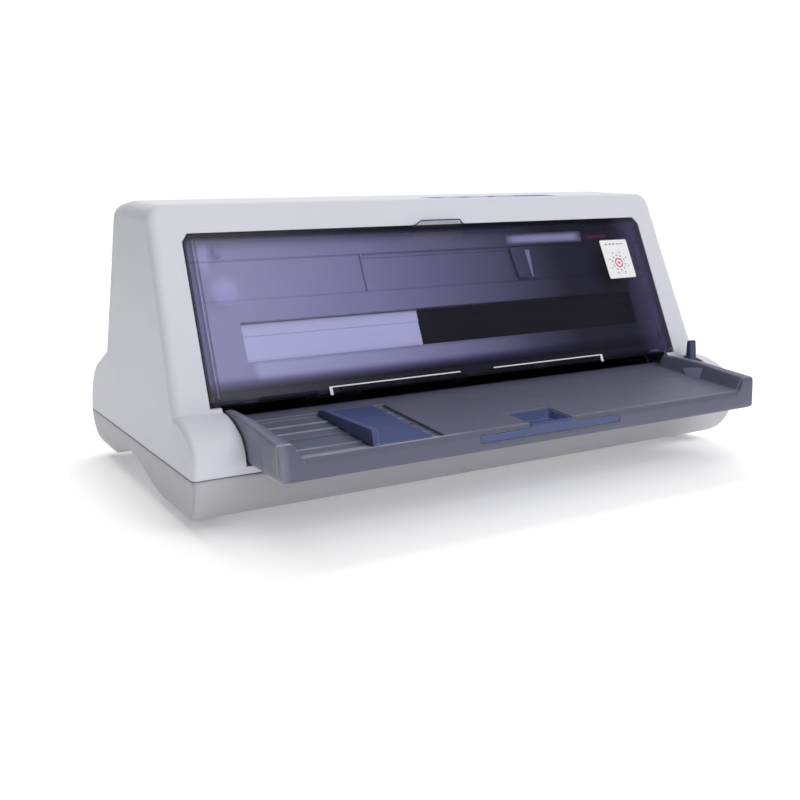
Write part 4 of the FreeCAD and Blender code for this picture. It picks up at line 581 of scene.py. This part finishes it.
shapes["rose"].append(ring(0.105, 0.150, 0, 350))
shapes["rose"].append([(0.5 + px, 0.60 + py * ratio) for px, py in disc(0, 0, 0.045, 12)])
for k in range(10):
    a = 36.0 * k
    shapes["grey" if k % 3 else "rose"].append(ring(0.215, 0.245, a + 4, a + 24))
for k in range(8):
    a = math.radians(45.0 * k + 20)
    shapes["green" if k in (0, 3, 5) else "grey"].append([(0.5 + 0.335 * math.cos(a) + px, 0.60 + (0.335 * math.sin(a) + py) * ratio) for px, py in disc(0, 0, 0.026, 8)])
for k in range(5):
    shapes["grey"].append(rounded_box(0.16 + 0.14 * k, 0.16 + 0.14 * k + 0.10, 0.095, 0.125, 0.012, 2))
for ink, outlines in shapes.items():
    bm = bmesh.new()
    for o in outlines:
        slab(bm, o, -0.125, -0.09, quad)
    piece("sticker_print_" + ink, bm, INKS[ink], "cover", smooth=False)

# plain label and strip on the panel behind the cover
def faded_label():
    """Label whose tone dies away towards its edges."""
    m = Nodes("label_film")
    v = m.along(UP, FACE)
    x = m.split()[0]
    heart = m.math("MULTIPLY", m.band(x, 0.0605, 0.1185, 0.0030), m.band(v, 0.0903, 0.0950, 0.0012))
    tone = m.mix(heart, srgb("66646e"), srgb("d2ced8"))
    tone = m.mix(m.span(m.noise(140.0, 4.0), 0.0, 0.25), tone, srgb("86848c"))
    p = m.principled()
    m.link(tone, p.inputs["Base Color"])
    m.link(m.span(m.noise(80.0), 0.4, 0.55), p.inputs["Roughness"])
    m.link(m.bump(m.noise(2000.0), 0.04, 0.0003), p.inputs["Normal"])
    m.link(p.outputs[0], m.out.inputs["Surface"])
    return m.mat


bm = bmesh.new()
slab(bm, rounded_box(57.0, 122.0, 88.9, 96.6, 0.8, 3), 9.95, 10.12, face_at)
piece("inner_label", bm, faded_label(), "case", smooth=False)
RED = moulded("ink_red", srgb("7a2434"), rough=0.5, vary=0.1, grain=0.04, edge=0)
bm = bmesh.new()
slab(bm, rounded_box(128.0, 145.0, 90.6, 93.0, 0.5, 3), 9.95, 10.12, face_at)
piece("inner_mark", bm, RED, "case", smooth=False)

# light wedge-shaped rib in the panel's upper recess
RIB = moulded("rib_light_plastic", srgb("a9a7b0"), rough=0.4, vary=0.03, grain=0.06)
bm = bmesh.new()
slab(bm, [(67.9, 85.2), (75.0, 84.4), (73.6, 65.2), (69.6, 64.8)], 9.8, 11.9, face_at)
bevelled(piece("inner_rib", bm, RIB, "case", smooth=False), 0.0004)

# raised outline of the finger tab on the cover's top edge
LINE = moulded("tab_edge_plastic", srgb("3c3a4c"), rough=0.35, vary=0.08, grain=0.05, edge=0)
bm = bmesh.new()
run = [(-20.0, 100.45), (-17.6, 100.7), (-12.6, 103.55), (-11.4, 103.8), (16.2, 103.8), (17.2, 103.4), (18.1, 101.3), (19.4, 100.5)]
back = [(-20.0, 99.95), (-17.2, 100.1), (-12.3, 102.85), (-11.2, 103.05), (15.8, 103.05), (16.5, 102.7), (17.3, 100.8), (19.4, 99.9)]
slab(bm, run + list(reversed(back)), -2.48, -2.1, face_at)
piece("tab_outline", bm, LINE, "cover", smooth=False)

# sloped lining of the finger notch in the tray
TRAY_SLOPE = 7.1 / 86.0
bm = bmesh.new()
top_ring = [(-11.6, -143.7), (-11.6, -124.2), (-10.4, -122.5), (16.4, -122.5), (17.6, -124.2), (17.6, -143.7)]
low_ring = [(-8.6, -143.7), (-8.6, -127.6), (-7.8, -126.6), (14.2, -126.6), (15.0, -127.6), (15.0, -143.7)]
ta = [bm.verts.new((x * MM, y * MM, (47.1 + (y + 144.0) * TRAY_SLOPE) * MM)) for x, y in top_ring]
tb = [bm.verts.new((x * MM, y * MM, 43.75 * MM)) for x, y in low_ring]
for i in range(5):
    bm.faces.new((ta[i], ta[i + 1], tb[i + 1], tb[i]))
bm.faces.new(tb)
lining = piece("notch_lining", bm, BLUE, "case", smooth=False)
thick = lining.modifiers.new("skin", "SOLIDIFY")
thick.thickness = 0.0004
thick.offset = -1.0

# light facet on the inner face of the tray's right wall
FACET = moulded("facet_light_grey", srgb("8489a2"), rough=0.4, vary=0.02, grain=0.08)


def wall_at(u, v, w):
    """Point on the wall's sloped inner face: along the depth, up, and out of the face."""
    return Vector(((148.5 + (v - 45.5) * 9.8 / 16.5 - w) * MM, u * MM, v * MM))


bm = bmesh.new()
slab(bm, [(-93.1, 55.4), (-110.0, 57.3), (-110.9, 50.3), (-101.2, 49.2)], 0.05, 0.35, wall_at)
piece("wall_facet", bm, FACET, "case", smooth=False)

# ---------------------------------------------------------------- floor, light, camera
bm = bmesh.new()
bm.faces.new([bm.verts.new((x, y, -0.0001)) for x, y in ((-4, -3.2), (8, -3.2), (8, 4), (-4, 4))])
me = bpy.data.meshes.new("floor")
bm.to_mesh(me)
bm.free()
floor = bpy.data.objects.new("floor", me)
bpy.context.collection.objects.link(floor)
m = Nodes("floor_paper")
p = m.principled(Roughness=0.85, Specular_IOR_Level=0.1, Emission_Strength=0.24, Emission_Color=(1.0, 1.0, 1.0, 1.0))
m.link(m.mix(m.span(m.noise(3.0, 4.0), 0.0, 1.0), (0.93, 0.93, 0.93), (0.95, 0.95, 0.95)), p.inputs["Base Color"])
m.link(p.outputs[0], m.out.inputs["Surface"])
me.materials.append(m.mat)

world = bpy.data.worlds.new("studio")
bpy.context.scene.world = world
world.use_nodes = True
tree = world.node_tree
way = tree.nodes.new("ShaderNodeSeparateXYZ")
tree.links.new(tree.nodes.new("ShaderNodeTexCoord").outputs["Generated"], way.inputs[0])


def fade(value, a, b, low=0.0, high=1.0):
    n = tree.nodes.new("ShaderNodeMapRange")
    n.interpolation_type = "SMOOTHSTEP"
    tree.links.new(value, n.inputs["Value"])
    for key, v in (("From Min", a), ("From Max", b), ("To Min", low), ("To Max", high)):
        n.inputs[key].default_value = v
    return n.outputs["Result"]


def both(op, a, b):
    n = tree.nodes.new("ShaderNodeMath")
    n.operation = op
    for k, v in enumerate((a, b)):
        if isinstance(v, float):
            n.inputs[k].default_value = v
        else:
            tree.links.new(v, n.inputs[k])
    return n.outputs[0]


# white room behind the object, a dim room in front with one broad soft glow to the upper left
behind = both("MULTIPLY", both("MULTIPLY", fade(way.outputs[1], -0.10, 0.20, 0.0, 0.92), fade(way.outputs[0], -0.35, 0.05, 0.05, 1.0)),
              fade(way.outputs[2], 0.35, 0.75, 1.0, 0.35))
glow = both("MULTIPLY", both("MULTIPLY", fade(way.outputs[0], 0.18, 0.52, 1.0, 0.0), fade(way.outputs[0], -0.60, -0.15)),
            both("MULTIPLY", fade(way.outputs[2], 0.15, 0.5), fade(way.outputs[1], -0.3, 0.0, 1.0, 0.0)))
level = both("ADD", both("ADD", behind, both("MULTIPLY", glow, 1.35)), 0.12)
# the room itself is seen plain white from every side, and lights the object as above
level = both("MAXIMUM", level, tree.nodes.new("ShaderNodeLightPath").outputs["Is Camera Ray"])
tree.links.new(level, tree.nodes["Background"].inputs["Strength"])
tree.nodes["Background"].inputs["Color"].default_value = (1.0, 1.0, 1.0, 1.0)


def softbox(name, at, target, width, height, power, colour=(1, 1, 1), glossy=True):
    light = bpy.data.lights.new(name, "AREA")
    light.shape = "RECTANGLE"
    light.size = width
    light.size_y = height
    light.energy = power
    light.color = colour
    o = bpy.data.objects.new(name, light)
    o.location = at
    o.rotation_euler = (Vector(target) - Vector(at)).to_track_quat("-Z", "Y").to_euler()
    o.visible_glossy = glossy
    bpy.context.collection.objects.link(o)
    return o


softbox("key_front", (0.9, -2.2, 1.9), (0, 0, 0.08), 1.6, 1.2, 26, glossy=False)
softbox("top", (0.1, 0.1, 2.4), (0, 0, 0.1), 2.0, 1.6, 7, glossy=False)
softbox("backdrop_wash", (2.5, 5.5, 5.0), (2.5, 6.0, 0.0), 8.0, 6.0, 500, glossy=False)

cam_data = bpy.data.cameras.new("camera")
cam_data.sensor_width = 36.0
cam_data.lens = 43.91
cam_data.clip_start = 0.01
cam_data.clip_end = 100.0
cam = bpy.data.objects.new("camera", cam_data)
yaw, pitch, roll = 0.494814, 0.186271, 0.031316
fwd = Vector((math.sin(yaw) * math.cos(pitch), math.cos(yaw) * math.cos(pitch), -math.sin(pitch)))
right = Vector((math.cos(yaw), -math.sin(yaw), 0))
down = fwd.cross(right)
r2 = math.cos(roll) * right + math.sin(roll) * down
d2 = -math.sin(roll) * right + math.cos(roll) * down
rot = Matrix((r2, -d2, -fwd)).transposed()
cam.matrix_world = Matrix.Translation((-0.32711, -0.57858, 0.16287)) @ rot.to_4x4()
bpy.context.collection.objects.link(cam)
bpy.context.scene.camera = cam
bpy.context.scene.view_settings.view_transform = "Standard"
